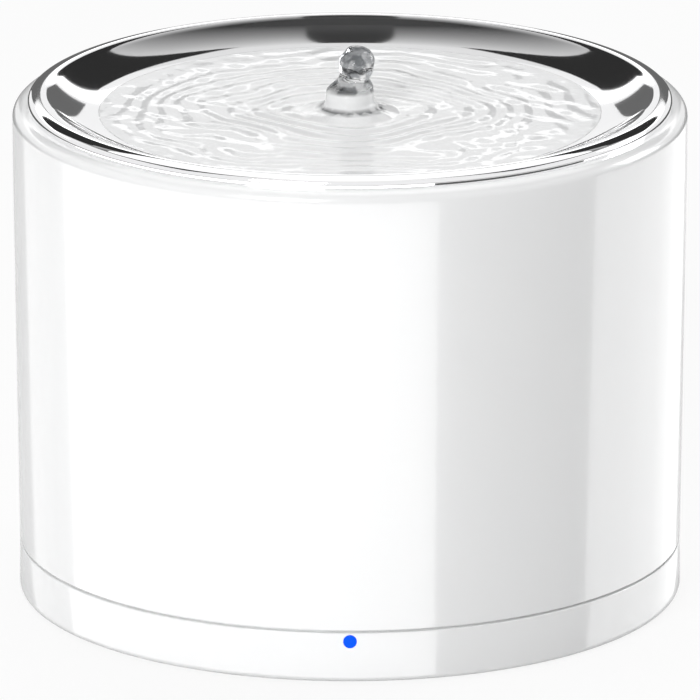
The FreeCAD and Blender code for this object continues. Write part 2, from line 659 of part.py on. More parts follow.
def make_pump_housing():
    """Pump housing with the rotor well, its cap and its rubber feet."""
    cap_top = f"{PUMP_BOTTOM} + pump_cap_thickness"
    inner = "pump_radius - pump_wall"
    keep("pump_housing", turned("pump_housing_body", [
        ("pump_cap_radius", PUMP_BOTTOM),
        ("pump_radius", PUMP_BOTTOM),
        ("pump_radius", PUMP_DECK),
        ("well_radius", PUMP_DECK),
        ("well_radius", WELL_FLOOR),
        ("0", WELL_FLOOR),
        ("0", f"{WELL_FLOOR} - well_wall"),
        ("well_radius + well_wall", f"{WELL_FLOOR} - well_wall"),
        ("well_radius + well_wall", f"{PUMP_DECK} - pump_wall"),
        (inner, f"{PUMP_DECK} - pump_wall"),
        (inner, cap_top),
        ("pump_cap_radius", cap_top),
    ]))
    keep("pump_cap", rod("pump_cap_radius", "pump_cap_thickness", ("0", "0", PUMP_BOTTOM)))
    feet = [
        rod("pump_foot_radius", "pump_foot_height", on_circle("pump_foot_circle", angle, PUMP_SEAT))
        for angle in steps(PUMP_FOOT_COUNT, 90)
    ]
    keep("pump_feet", grouped(feet))


def make_pump_drive():
    """Receiving coil, stator core with its poles, and the windings on them."""
    coil_bottom = f"{PUMP_BOTTOM} + pump_cap_thickness + drive_gap"
    keep("receiver_coil", ring("receiver_coil_body", "receiver_inner", "coil_outer", coil_bottom,
                               "receiver_thickness"))
    core_bottom = f"{PUMP_DECK} - pump_wall - drive_gap - core_height"
    yoke = ring("stator_yoke", "core_inner", "core_outer", core_bottom, "core_height")
    poles, windings = [], []
    for angle in steps(POLE_COUNT, 45):
        pole = ray_block("core_pole_face", "core_inner + pole_root - core_pole_face", "core_pole_width",
                         f"{core_bottom} + pole_inset", "core_height - 2 * pole_inset", angle)
        sleeve = ray_block("core_pole_face + winding_inset",
                           "core_inner - core_pole_face - 2 * winding_inset",
                           "core_pole_width + winding_depth", f"{core_bottom} + winding_margin",
                           "core_height - 2 * winding_margin", angle)
        slot = ray_block("core_pole_face", "core_inner - core_pole_face", "core_pole_width",
                         f"{core_bottom} + pole_inset", "core_height - 2 * pole_inset", angle)
        poles.append(pole)
        windings.append(carved(sleeve, [slot]))
    keep("stator_core", joined([yoke] + poles))
    keep("stator_windings", grouped(windings))


def make_impeller():
    """Ceramic shaft, rotor magnet and the vaned impeller that turns on the shaft."""
    keep("impeller_shaft", rod("shaft_radius", "shaft_length", ("0", "0", WELL_FLOOR)))
    rotor_bottom = f"{WELL_FLOOR} + rotor_lift"
    plate_bottom = f"{PUMP_DECK} + rotor_lift"
    plate_top = f"{plate_bottom} + impeller_plate"
    hub_top = f"{plate_top} + vane_height"
    bore = "shaft_radius + running_fit"
    hub = turned("impeller_hub", [
        (bore, rotor_bottom), ("hub_radius", rotor_bottom), ("hub_radius", plate_bottom),
        ("impeller_radius", plate_bottom), ("impeller_radius", plate_top), ("hub_radius", plate_top),
        ("hub_radius", hub_top), (bore, hub_top),
    ])
    vanes = [
        ray_block("hub_radius - vane_root", "impeller_radius - hub_radius", "vane_thickness",
                  f"{plate_top} - vane_sink", "vane_height + vane_sink", angle)
        for angle in steps(VANE_COUNT)
    ]
    keep("impeller", joined([hub] + vanes))
    keep("impeller_magnet", ring("impeller_magnet_body", "hub_radius", "magnet_radius",
                                 f"{rotor_bottom} + magnet_lift", "magnet_height"))


def make_pump_cover():
    """Pump cover with the pumping chamber, intake slots, outlet and shaft bush; foam; riser."""
    chamber_top = f"{PUMP_DECK} + chamber_height"
    cover_top = f"{PUMP_DECK} + pump_cover_height"
    outlet_top = f"{cover_top} + outlet_length"
    shell = turned("pump_cover_body", [
        ("chamber_radius", PUMP_DECK), ("pump_radius", PUMP_DECK), ("pump_radius", cover_top),
        ("outlet_radius", cover_top), ("outlet_radius", outlet_top), ("outlet_bore", outlet_top),
        ("outlet_bore", chamber_top), ("chamber_radius", chamber_top),
    ])
    bush = rod("shaft_radius + bush_wall", "bush_height", ("0", "0", chamber_top))
    ribs = [
        ray_block("shaft_radius", "outlet_bore + spider_root - shaft_radius", "spider_rib", chamber_top,
                  "spider_height", angle)
        for angle in steps(SPIDER_COUNT, 30)
    ]
    shaft_hole = rod("shaft_radius", "bush_height", ("0", "0", chamber_top))
    intakes = [
        ray_block("-pump_radius - overrun", "2 * (pump_radius + overrun)", "intake_width",
                  f"{PUMP_DECK} + intake_sill", "intake_height", angle)
        for angle in steps(2 * INTAKE_PAIRS)[:INTAKE_PAIRS]
    ]
    keep("pump_cover", carved(joined([carved(shell, intakes), bush] + ribs), [shaft_hole]))
    keep("prefilter_foam", ring("prefilter_foam_body", "pump_radius", "foam_radius",
                                f"{PUMP_DECK} - foam_sink", "foam_height"))
    keep("riser_tube", ring("riser_tube_body", "outlet_radius", "riser_radius", cover_top,
                            f"riser_top - ({cover_top})"))


def make_filter_carrier():
    """Filter carrier: a shallow slotted basket with a column for the riser tube."""
    floor_top = "ledge_height + carrier_wall"
    basket = turned("filter_carrier_body", [
        ("column_bore", "ledge_height"),
        ("carrier_radius", "ledge_height"),
        ("carrier_radius", "ledge_height + carrier_height"),
        ("carrier_radius - carrier_wall", "ledge_height + carrier_height"),
        ("carrier_radius - carrier_wall", floor_top),
        ("column_bore + carrier_wall", floor_top),
        ("column_bore + carrier_wall", "ledge_height + column_height"),
        ("column_bore", "ledge_height + column_height"),
    ])
    slots = []
    for index, angle in enumerate(steps(CARRIER_SLOT_COUNT)):
        start = "carrier_slot_start" if index % 2 == 0 else "(carrier_slot_start + carrier_slot_end) / 2"
        slots.append(ray_block(start, f"carrier_slot_end - {start}", "carrier_slot_width", "ledge_height",
                               "carrier_wall", angle))
    keep("filter_carrier", carved(basket, slots))


def make_filter():
    """Filter: a spoked frame that holds granules between two round pads."""
    bottom = "ledge_height + carrier_wall"
    inside = "filter_radius - filter_wall"
    hub = "filter_bore + filter_wall"
    outer = ring("filter_outer_ring", inside, "filter_radius", bottom, "filter_height")
    inner = ring("filter_inner_ring", "filter_bore", hub, bottom, "filter_height")
    spokes = [
        ray_block(f"{hub} - spoke_root", f"{inside} - ({hub}) + 2 * spoke_root", "spoke_width", bottom,
                  "filter_spoke", angle)
        for angle in steps(SPOKE_COUNT)
    ]
    keep("filter_frame", joined([outer, inner] + spokes))
    lower = f"{bottom} + filter_spoke"
    middle = f"{lower} + pad_thickness"
    upper = f"{middle} + granule_depth"
    keep("lower_pad", ring("lower_pad_body", hub, inside, lower, "pad_thickness"))
    keep("filter_granules", ring("filter_granules_body", hub, inside, middle, "granule_depth"))
    keep("upper_pad", ring("upper_pad_body", hub, inside, upper, "pad_thickness"))


def make_drinking_tray():
    """Drinking tray: a shallow steel dish with a rolled lip, a centre hole and drain holes."""
    crest = "(tray_radius - edge_roll - (crest_roll - edge_roll) * sin(crest_turn))"
    edge_height = "crest_height + (crest_roll - edge_roll) * cos(crest_turn)"
    inner_crest = "(crest_roll - tray_sheet)"
    lower_edge = "floor_edge * (1 + tray_sheet / floor_curve)"

    def wall_top(roll):
        return f"{crest} - {roll} * sin(wall_slope)", f"crest_height + {roll} * cos(wall_slope)"

    def edge_start(roll):
        return f"{crest} + {roll} * sin(crest_turn)", f"crest_height + {roll} * cos(crest_turn)"

    dish = turned("drinking_tray_body", [
        ("dish_hole", dish_height("dish_hole"), "floor_curve", "left"),
        ("floor_edge", "water_level", "wall_curve", "left"),
        (*wall_top("crest_roll"), "crest_roll", "right"),
        (*edge_start("crest_roll"), "edge_roll", "right"),
        ("tray_radius", edge_height),
        ("tray_radius", "shoulder_height"),
        ("tray_radius - tray_sheet", "shoulder_height"),
        ("tray_radius - tray_sheet", edge_height, "edge_roll - tray_sheet", "left"),
        (*edge_start(inner_crest), inner_crest, "left"),
        (*wall_top(inner_crest), "wall_curve + tray_sheet", "right"),
        (lower_edge, dish_height(lower_edge, "-tray_sheet"), "floor_curve + tray_sheet", "right"),
        ("dish_hole", dish_height("dish_hole", "-tray_sheet")),
    ])
    drains = [
        rod("drain_radius", "drain_reach", on_circle("drain_circle", angle, "water_level - drain_reach"))
        for angle in steps(DRAIN_COUNT, 22.5)
    ]
    keep("drinking_tray", carved(dish, drains))


def make_spout():
    """Spout nozzle, its seal above the tray and its nut below the tray."""
    keep("spout_nozzle", turned("spout_nozzle_body", [
        ("nozzle_socket", "nozzle_bottom"),
        ("nozzle_radius", "nozzle_bottom"),
        ("nozzle_radius", "nozzle_flange_bottom"),
        ("nozzle_flange", "nozzle_flange_bottom"),
        ("nozzle_flange - flange_bevel", "nozzle_flange_top"),
        ("nozzle_bore", "nozzle_flange_top"),
        ("nozzle_bore", "nozzle_step + nozzle_cone"),
        ("nozzle_socket", "nozzle_step"),
    ]))
    keep("nozzle_seal", ring("nozzle_seal_body", "nozzle_radius", "nozzle_flange - seal_inset",
                             "nozzle_flange_bottom - seal_height", "seal_height"))
    keep("nozzle_nut", ring("nozzle_nut_body", "nozzle_radius", "nut_radius", "nut_bottom", "nut_height"))


def make_drinking_water():
    """Drinking water: the shallow pool with its jet over the spout."""
    inner = "nozzle_flange + nozzle_film"
    bottom = "nozzle_flange_top + nozzle_film"
    keep("drinking_water", turned("drinking_water_body", [
        ("0", bottom),
        (inner, bottom),
        (inner, dish_height(inner, "water_gap"), "floor_curve - water_gap", "left"),
        ("water_radius", dish_height("water_radius", "water_gap")),
        ("water_radius - swell_reach", "water_level + swell_height"),
        ("jet_root", "water_level + jet_root_height"),
        ("jet_flare", "water_level + jet_flare_height"),
        ("jet_waist", "(water_level + jet_top) / 2"),
        ("jet_head", "jet_top - jet_crown"),
        ("jet_head / 2", "jet_top - jet_tip"),
        ("0", "jet_top"),
    ]))


def check_and_export():
    """Stops on any failed feature, then writes each sub-part to its own file."""
    doc.recompute()
    failed = [item.Name for item in doc.Objects if {"Invalid", "Error"} & set(item.State)]
    if failed:
        raise RuntimeError(f"features failed: {failed}")
    for name, piece in subparts.items():
        if piece.Shape.isNull() or not piece.Shape.isValid() or not piece.Shape.Solids:
            raise RuntimeError(f"{name} has no valid solid")
    os.makedirs("parts", exist_ok=True)
    for name, piece in subparts.items():
        piece.Shape.exportStep(os.path.join("parts", f"{name}.step"))
        print(f"{name}: {len(piece.Shape.Solids)} solid(s), {piece.Shape.Volume / 1000:.2f} cm3")


fill_sheet()
make_base_shell()
make_base_cover()
make_cover_screws()
make_base_feet()
make_electronics()
make_light()
make_power_inlet()
make_mode_button()
make_tank()
make_pump_housing()
make_pump_drive()
make_impeller()
make_pump_cover()
make_filter_carrier()
make_filter()
make_drinking_tray()
make_spout()
make_drinking_water()
check_and_export()
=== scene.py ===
"""Dresses the pet water fountain: gloss white tank and base, steel tray, rippled water and jet."""
from __future__ import annotations

import json
import logging
import math
from dataclasses import dataclass, field
from enum import Enum
from typing import Any

import bmesh
import bpy
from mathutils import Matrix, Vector, noise

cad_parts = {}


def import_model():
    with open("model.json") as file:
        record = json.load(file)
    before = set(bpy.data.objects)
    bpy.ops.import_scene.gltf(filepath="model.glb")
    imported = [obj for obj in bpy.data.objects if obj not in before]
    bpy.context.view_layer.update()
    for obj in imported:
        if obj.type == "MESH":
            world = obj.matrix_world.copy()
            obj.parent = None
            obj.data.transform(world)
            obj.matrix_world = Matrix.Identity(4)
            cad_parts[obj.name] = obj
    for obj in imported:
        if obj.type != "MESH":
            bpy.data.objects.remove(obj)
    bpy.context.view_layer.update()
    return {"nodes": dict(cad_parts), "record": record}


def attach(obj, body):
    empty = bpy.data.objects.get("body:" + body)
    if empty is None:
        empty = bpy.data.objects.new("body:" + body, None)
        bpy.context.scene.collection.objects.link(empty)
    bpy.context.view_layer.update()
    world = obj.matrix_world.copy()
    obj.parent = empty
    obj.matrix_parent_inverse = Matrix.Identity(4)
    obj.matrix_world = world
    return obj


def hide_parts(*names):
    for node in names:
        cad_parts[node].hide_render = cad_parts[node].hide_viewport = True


LOG = logging.getLogger("fountain")
MM = 0.001
FULL_TURN = 2.0 * math.pi
WELD = 1e-6
CREASE = 32.0
DISH_HEIGHT = 0.134

Path = list[tuple[float, float]]
Colour = tuple[float, float, float]
Place = tuple[float, float, float]


class Pattern(Enum):
    """The surface detail that a finish carries."""

    MOULDED = "smooth moulding with a faint orange peel"
    GRAINED = "fine matte grain"
    SPUN = "fine rings from spinning and polishing"
    WOUND = "turns of enamelled wire"
    LAYERED = "stacked thin sheets"
    FIBRES = "matted fibres"
    CELLS = "open cells or granules"
    TRACES = "printed tracks under a solder mask"


class Socket:
    """One output of a shader node, with arithmetic that adds Math nodes."""

    def __init__(self, painter: "Painter", socket: bpy.types.NodeSocket) -> None:
        """Keeps the painter and the socket that it wraps."""
        self.painter = painter
        self.socket = socket

    def _math(self, operation: str, first: Any, second: Any) -> "Socket":
        """Adds one Math node and returns its output."""
        return self.painter.add("ShaderNodeMath", {"operation": operation}, {0: first, 1: second})

    def __add__(self, other: Any) -> "Socket":
        """Returns self + other."""
        return self._math("ADD", self, other)

    def __radd__(self, other: Any) -> "Socket":
        """Returns other + self."""
        return self._math("ADD", other, self)

    def __sub__(self, other: Any) -> "Socket":
        """Returns self - other."""
        return self._math("SUBTRACT", self, other)

    def __rsub__(self, other: Any) -> "Socket":
        """Returns other - self."""
        return self._math("SUBTRACT", other, self)

    def __mul__(self, other: Any) -> "Socket":
        """Returns self * other."""
        return self._math("MULTIPLY", self, other)

    def __rmul__(self, other: Any) -> "Socket":
        """Returns other * self."""
        return self._math("MULTIPLY", other, self)

    def __truediv__(self, other: Any) -> "Socket":
        """Returns self / other."""
        return self._math("DIVIDE", self, other)

    def __pow__(self, other: Any) -> "Socket":
        """Returns self to the power other."""
        return self._math("POWER", self, other)

    def sine(self) -> "Socket":
        """Returns the sine of self."""
        return self._math("SINE", self, 0.0)

    def over(self, edge: Any) -> "Socket":
        """Returns 1 where self is greater than edge, and 0 elsewhere."""
        return self._math("GREATER_THAN", self, edge)


class Painter:
    """Builds one node-based material."""

    def __init__(self, name: str) -> None:
        """Makes an empty material with an output node."""
        self.material = bpy.data.materials.new(name)
        self.material.use_nodes = True
        self.tree = self.material.node_tree
        self.tree.nodes.clear()
        self.end = self.tree.nodes.new("ShaderNodeOutputMaterial")

    def node(self, kind: str, settings: dict[str, Any], values: dict[Any, Any]) -> bpy.types.Node:
        """Adds a node.

        Args:
            kind: the node's type.
            settings: its own properties, set first.
            values: a number, colour or Socket for each input, by name or index.

        Returns:
            The new node.
        """
        made = self.tree.nodes.new(kind)
        for key, value in settings.items():
            setattr(made, key, value)
        for key, value in values.items():
            if isinstance(value, Socket):
                self.tree.links.new(value.socket, made.inputs[key])
            else:
                made.inputs[key].default_value = value
        return made

    def add(self, kind: str, settings: dict[str, Any], values: dict[Any, Any], out: Any = 0) -> Socket:
        """Adds a node and returns one of its outputs."""
        return Socket(self, self.node(kind, settings, values).outputs[out])

    def place(self) -> Socket:
        """Returns the place on the piece, in metres."""
        return self.add("ShaderNodeTexCoord", {}, {}, "Object")

    def axes(self) -> tuple[Socket, Socket, Socket]:
        """Returns the place's three coordinates."""
        parts = self.node("ShaderNodeSeparateXYZ", {}, {0: self.place()})
        return tuple(Socket(self, parts.outputs[index]) for index in range(3))

    def radius(self) -> Socket:
        """Returns the distance from the Z axis."""
        x, y, _ = self.axes()
        return (x * x + y * y) ** 0.5

    def speckle(self, scale: float, detail: float = 3.0, stretch: Place = (1.0, 1.0, 1.0)) -> Socket:
        """Returns noise from 0 to 1 of a scale, in cycles per metre, squeezed along the axes."""
        spot = self.add("ShaderNodeMapping", {}, {"Vector": self.place(), "Scale": stretch})
        return self.add("ShaderNodeTexNoise", {}, {"Vector": spot, "Scale": scale, "Detail": detail})

    def cells(self, scale: float) -> Socket:
        """Returns the distance to the nearest of many scattered points."""
        return self.add("ShaderNodeTexVoronoi", {}, {"Vector": self.place(), "Scale": scale})

    def clamp(self, value: Socket) -> Socket:
        """Returns value kept between 0 and 1."""
        return self.add("ShaderNodeClamp", {}, {0: value})

    def blend(self, share: Any, first: Any, second: Any) -> Socket:
        """Returns what goes from first to second with share, each of them a colour or a socket."""
        ends = [end if isinstance(end, Socket) else (*end, 1.0) for end in (first, second)]
        return self.add("ShaderNodeMix", {"data_type": "RGBA"}, {0: share, 6: ends[0], 7: ends[1]}, 2)

    def bump(self, height: Socket, depth: float) -> Socket:
        """Returns a normal raised by height, depth metres high."""
        return self.add("ShaderNodeBump", {}, {"Height": height, "Distance": depth, "Strength": 1.0})

    def finish(self, shader: bpy.types.Node) -> bpy.types.Material:
        """Links the shader to the output and returns the material."""
        self.tree.links.new(shader.outputs[0], self.end.inputs[0])
        return self.material


@dataclass(frozen=True)
class Finish:
    """A finish for a piece: its colours, gloss and surface detail."""

    name: str
    pattern: Pattern
    colour: Colour
    second: Colour
    roughness: float = 0.4
    metallic: float = 0.0
    coat: float = 0.0
    scale: float = 600.0
    depth: float = 0.02 * MM
    transmission: float = 0.0
    glow: float = 0.0
    specular: float = 0.5

    def detail(self, paint: Painter) -> tuple[Socket, Socket]:
        """Makes the pattern.

        Args:
            paint: the material under way.

        Returns:
            The share of the second colour, and the height that raises the surface.
        """
        broad = paint.speckle(self.scale * 0.03)
        fine = paint.speckle(self.scale)
        if self.pattern is Pattern.MOULDED:
            return broad * 0.5, fine * 0.4 + paint.speckle(self.scale * 0.2) * 0.6
        if self.pattern is Pattern.GRAINED:
            return broad * 0.6 + fine * 0.3, fine
        if self.pattern is Pattern.SPUN:
            rings = (paint.radius() * self.scale + fine * 1.5).sine() * 0.5 + 0.5
            return rings * 0.35 + broad * 0.4, rings * 0.6 + fine * 0.4
        if self.pattern is Pattern.WOUND:
            _, _, height = paint.axes()
            turns = (paint.radius() * self.scale).sine() * (height * self.scale).sine() * 0.5 + 0.5
            return 1.0 - turns, turns + fine * 0.2
        if self.pattern is Pattern.LAYERED:
            _, _, height = paint.axes()
            sheets = (height * self.scale * 6.0).sine() * 0.5 + 0.5
            return sheets * 0.6 + broad * 0.3, sheets
        if self.pattern is Pattern.FIBRES:
            along_x = paint.speckle(self.scale, 6.0, (0.25, 1.0, 1.0))
            strands = paint.speckle(self.scale, 6.0, (1.0, 0.25, 1.0)) + along_x
            return strands * 0.5, strands
        if self.pattern is Pattern.CELLS:
            holes = paint.cells(self.scale)
            return 1.0 - holes, holes + fine * 0.2
        x, y, _ = paint.axes()
        wide = (x * self.scale + broad * 6.0).sine().over(0.55)
        narrow = (y * self.scale * 0.7).sine().over(0.8)
        tracks = wide * 0.6 + narrow * 0.4
        return tracks, tracks + fine * 0.1

    def material(self) -> bpy.types.Material:
        """Returns the finish as a material, made once."""
        title = self.name + "_finish"
        made = bpy.data.materials.get(title)
        if made:
            return made
        paint = Painter(title)
        share, height = self.detail(paint)
        wear = paint.speckle(self.scale * 0.1)
        values = {
            "Base Color": paint.blend(share, self.colour, self.second),
            "Roughness": self.roughness * (0.85 + wear * 0.3),
            "Metallic": self.metallic,
            "Coat Weight": self.coat,
            "Coat Roughness": 0.06,
            "Transmission Weight": self.transmission,
            "IOR": 1.49,
            "Specular IOR Level": self.specular,
            "Normal": paint.bump(height, self.depth),
        }
        if self.glow:
            values["Emission Color"] = paint.blend(share * 0.3, self.colour, self.second)
            values["Emission Strength"] = self.glow
        return paint.finish(paint.node("ShaderNodeBsdfPrincipled", {}, values))


GLOSS_WHITE = Finish("gloss_white", Pattern.MOULDED, (0.86, 0.865, 0.87), (0.89, 0.89, 0.885),
                     roughness=0.2, coat=0.5, scale=900.0, depth=0.004 * MM)
STEEL = Finish("polished_steel", Pattern.SPUN, (0.88, 0.88, 0.885), (0.82, 0.82, 0.83),
               roughness=0.05, metallic=1.0, scale=14000.0, depth=0.0006 * MM)

FINISHES: dict[str, Finish] = {
    "white_plastic": GLOSS_WHITE,
    "white_matte": Finish("white_matte", Pattern.GRAINED, (0.80, 0.80, 0.79), (0.86, 0.86, 0.85), 0.45),
    "clear_grey": Finish("clear_grey", Pattern.MOULDED, (0.72, 0.76, 0.78), (0.80, 0.82, 0.84), 0.15,
                         transmission=0.5),
    "rubber_grey": Finish("rubber_grey", Pattern.GRAINED, (0.10, 0.10, 0.105), (0.15, 0.15, 0.15), 0.75,
                          scale=1500.0),
    "silicone": Finish("silicone", Pattern.GRAINED, (0.62, 0.63, 0.64), (0.70, 0.70, 0.70), 0.55),
    "dark_plastic": Finish("dark_plastic", Pattern.GRAINED, (0.035, 0.035, 0.038), (0.06, 0.06, 0.06), 0.5,
                           scale=1800.0),
    "copper": Finish("copper", Pattern.WOUND, (0.55, 0.24, 0.10), (0.26, 0.09, 0.03), 0.3, 0.9,
                     scale=9000.0, depth=0.1 * MM),
    "ferrite": Finish("ferrite", Pattern.GRAINED, (0.05, 0.05, 0.055), (0.09, 0.09, 0.09), 0.6),
    "board_green": Finish("board_green", Pattern.TRACES, (0.015, 0.12, 0.05), (0.05, 0.26, 0.10), 0.3,
                          coat=0.4, scale=2600.0, depth=0.03 * MM),
    "component_black": Finish("component_black", Pattern.GRAINED, (0.02, 0.02, 0.022), (0.05, 0.05, 0.05),
                              0.5),
    "lamination": Finish("lamination", Pattern.LAYERED, (0.36, 0.36, 0.37), (0.16, 0.15, 0.15), 0.4, 0.9,
                         scale=2000.0, depth=0.05 * MM),
    "screw_steel": Finish("screw_steel", Pattern.SPUN, (0.55, 0.55, 0.56), (0.42, 0.42, 0.42), 0.3, 1.0,
                          scale=9000.0, depth=0.003 * MM),
    "light_blue": Finish("light_blue", Pattern.MOULDED, (0.004, 0.06, 0.92), (0.006, 0.075, 1.0), 0.5,
                         glow=0.85, specular=0.0),
    "ceramic_white": Finish("ceramic_white", Pattern.MOULDED, (0.8, 0.8, 0.77), (0.86, 0.86, 0.84), 0.2),
    "magnet": Finish("magnet", Pattern.GRAINED, (0.06, 0.06, 0.065), (0.11, 0.11, 0.11), 0.5, 0.3),
    "foam_black": Finish("foam_black", Pattern.CELLS, (0.015, 0.015, 0.015), (0.07, 0.07, 0.07), 0.95,
                         scale=900.0, depth=0.5 * MM),
    "felt_white": Finish("felt_white", Pattern.FIBRES, (0.74, 0.74, 0.71), (0.88, 0.88, 0.86), 0.95,
                         scale=900.0, depth=0.2 * MM),
    "granules": Finish("granules", Pattern.CELLS, (0.04, 0.035, 0.03), (0.55, 0.50, 0.42), 0.8,
                       scale=500.0, depth=0.6 * MM),
}


@dataclass(frozen=True)
class WaterFinish:
    """Rippled water: white in the pool and low in the jet, with a painted shade ring at the jet's foot and a
    painted shade neck, clear with painted dark reflection streaks above.

    The level is in metres, and foot, waist, clear_from and clear_span are in millimetres above it.
    """

    level: float
    froth_radius: float = 20.0 * MM
    froth_scale: float = 700.0
    foot: tuple[float, float] = (0.8, 2.3)
    waist: float = 5.3
    clear_from: float = 5.6
    clear_span: float = 2.0
    # painted shade: the dark colour of the ring at the jet's foot and of its neck
    shadow: Colour = (0.10, 0.105, 0.11)
    # painted reflection: the dark colour of the streaks that stand in for the dark surroundings the clear
    # jet mirrors
    dark_reflection: Colour = (0.20, 0.21, 0.22)

    def material(self) -> bpy.types.Material:
        """Returns the water's material."""
        paint = Painter("clear_water")
        _, _, height = paint.axes()
        rise = (height - self.level) / MM
        froth = 1.0 - (paint.radius() / self.froth_radius).over(1.0)
        bubbles = paint.cells(self.froth_scale)
        # painted dark reflections: a noise mask of streaks laid into the jet's colour
        dark_reflection_mask = paint.clamp((paint.speckle(240.0, 2.0) - 0.44) * 9.0)
        shared = {
            "Roughness": 0.02 + froth * bubbles * 0.08,
            "IOR": 1.333,
            "Normal": paint.bump(paint.speckle(260.0, 2.0) + froth * bubbles * 0.4, 0.08 * MM),
        }
        cloud = paint.speckle(90.0, 2.0) * 0.5 + froth * 0.4
        white = paint.blend(cloud, (0.93, 0.935, 0.94), (0.985, 0.99, 0.99))
        # painted shade: a thin dark ring at the jet's foot and a dark neck from the waist up, broken by the
        # painted reflection streaks
        foot = paint.clamp((rise - self.foot[0]) * 2.5) * paint.clamp(self.foot[1] - rise)
        waist = paint.clamp((rise - self.waist) * 0.9)
        # the pool and the low jet: white, with the painted shade ring and neck in their base colour
        low = paint.node("ShaderNodeBsdfPrincipled", {}, {
            **shared, "Base Color": paint.blend((foot + waist) * (0.35 + dark_reflection_mask * 0.5), white, self.shadow),
            "Transmission Weight": 0.15,
        })
        # the clear upper jet: white, with the painted dark reflection streaks in its base colour
        high = paint.node("ShaderNodeBsdfPrincipled", {}, {
            **shared, "Base Color": paint.blend(dark_reflection_mask, (1.0, 1.0, 1.0), self.dark_reflection),
            "Transmission Weight": 1.0,
        })
        clear = paint.clamp((rise - self.clear_from) / self.clear_span)
        mix = paint.node("ShaderNodeMixShader", {}, {0: clear})
        paint.tree.links.new(low.outputs[0], mix.inputs[1])
        paint.tree.links.new(high.outputs[0], mix.inputs[2])
        return paint.finish(mix)


def bend(centre: tuple[float, float], size: float, start: float, end: float, count: int) -> Path:
    """Returns points along an arc.

    Args:
        centre: radius and height of the arc's centre.
        size: the arc's radius.
        start: the first angle in degrees, from the outward level direction.
        end: the last angle in degrees.
        count: the number of points.

    Returns:
        The points, as radius and height.
    """
    angles = [math.radians(start + (end - start) * step / (count - 1)) for step in range(count)]
    return [(centre[0] + size * math.cos(angle), centre[1] + size * math.sin(angle)) for angle in angles]


class TurnedTree:
    """A Geometry Nodes tree that turns an outline in the XZ plane about the Z axis."""

    def __init__(self) -> None:
        """Builds the tree with inputs for the counts and the material."""
        self.tree = bpy.data.node_groups.new("turned_skin", "GeometryNodeTree")
        face = self.tree.interface
        face.new_socket("Geometry", in_out="OUTPUT", socket_type="NodeSocketGeometry")
        self.sockets = {}
        for name, kind in (("Geometry", "Geometry"), ("Corners", "Int"), ("Segments", "Int"),
                           ("Weld", "Float"), ("Finish", "Material")):
            self.sockets[name] = face.new_socket(name, in_out="INPUT", socket_type="NodeSocket" + kind)
        self._wire()

    def _node(self, kind: str, **settings: Any) -> bpy.types.Node:
        """Adds one node with its settings."""
        made = self.tree.nodes.new(kind)
        for key, value in settings.items():
            setattr(made, key, value)
        return made

    def _sum(self, operation: str, first: Any, second: Any) -> bpy.types.NodeSocket:
        """Adds one Math node on sockets or numbers and returns its output."""
        made = self._node("ShaderNodeMath", operation=operation)
        for index, value in enumerate((first, second)):
            if isinstance(value, bpy.types.NodeSocket):
                self.tree.links.new(value, made.inputs[index])
            else:
                made.inputs[index].default_value = value
        return made.outputs[0]

    def _wire(self) -> None:
        """Links the grid, the outline's points and the turning formula."""
        link = self.tree.links.new
        given = self._node("NodeGroupInput").outputs
        grid = self._node("GeometryNodeMeshGrid")
        grid.inputs["Size X"].default_value = 1.0
        grid.inputs["Size Y"].default_value = 1.0
        link(self._sum("ADD", given["Segments"], 1.0), grid.inputs["Vertices X"])
        link(given["Corners"], grid.inputs["Vertices Y"])
        spot = self._node("ShaderNodeSeparateXYZ")
        link(self._node("GeometryNodeInputPosition").outputs[0], spot.inputs[0])
        turn = self._sum("MULTIPLY", self._sum("ADD", spot.outputs[0], 0.5), FULL_TURN)
        along = self._sum("MULTIPLY", self._sum("ADD", spot.outputs[1], 0.5),
                          self._sum("SUBTRACT", given["Corners"], 1.0))
        index = self._sum("ROUND", along, 0.0)
        outline = self._node("GeometryNodeSampleIndex", data_type="FLOAT_VECTOR", domain="POINT")
        link(given["Geometry"], outline.inputs["Geometry"])
        link(self._node("GeometryNodeInputPosition").outputs[0], outline.inputs["Value"])
        link(index, outline.inputs["Index"])
        corner = self._node("ShaderNodeSeparateXYZ")
        link(outline.outputs[0], corner.inputs[0])
        place = self._node("ShaderNodeCombineXYZ")
        link(self._sum("MULTIPLY", corner.outputs[0], self._sum("COSINE", turn, 0.0)), place.inputs[0])
        link(self._sum("MULTIPLY", corner.outputs[0], self._sum("SINE", turn, 0.0)), place.inputs[1])
        link(corner.outputs[2], place.inputs[2])
        moved = self._node("GeometryNodeSetPosition")
        link(grid.outputs["Mesh"], moved.inputs["Geometry"])
        link(place.outputs[0], moved.inputs["Position"])
        welded = self._node("GeometryNodeMergeByDistance")
        link(moved.outputs[0], welded.inputs["Geometry"])
        link(given["Weld"], welded.inputs["Distance"])
        real = self._node("GeometryNodeRealizeInstances")
        link(welded.outputs[0], real.inputs[0])
        dressed = self._node("GeometryNodeSetMaterial")
        link(real.outputs[0], dressed.inputs["Geometry"])
        link(given["Finish"], dressed.inputs["Material"])
        link(dressed.outputs[0], self._node("NodeGroupOutput").inputs[0])


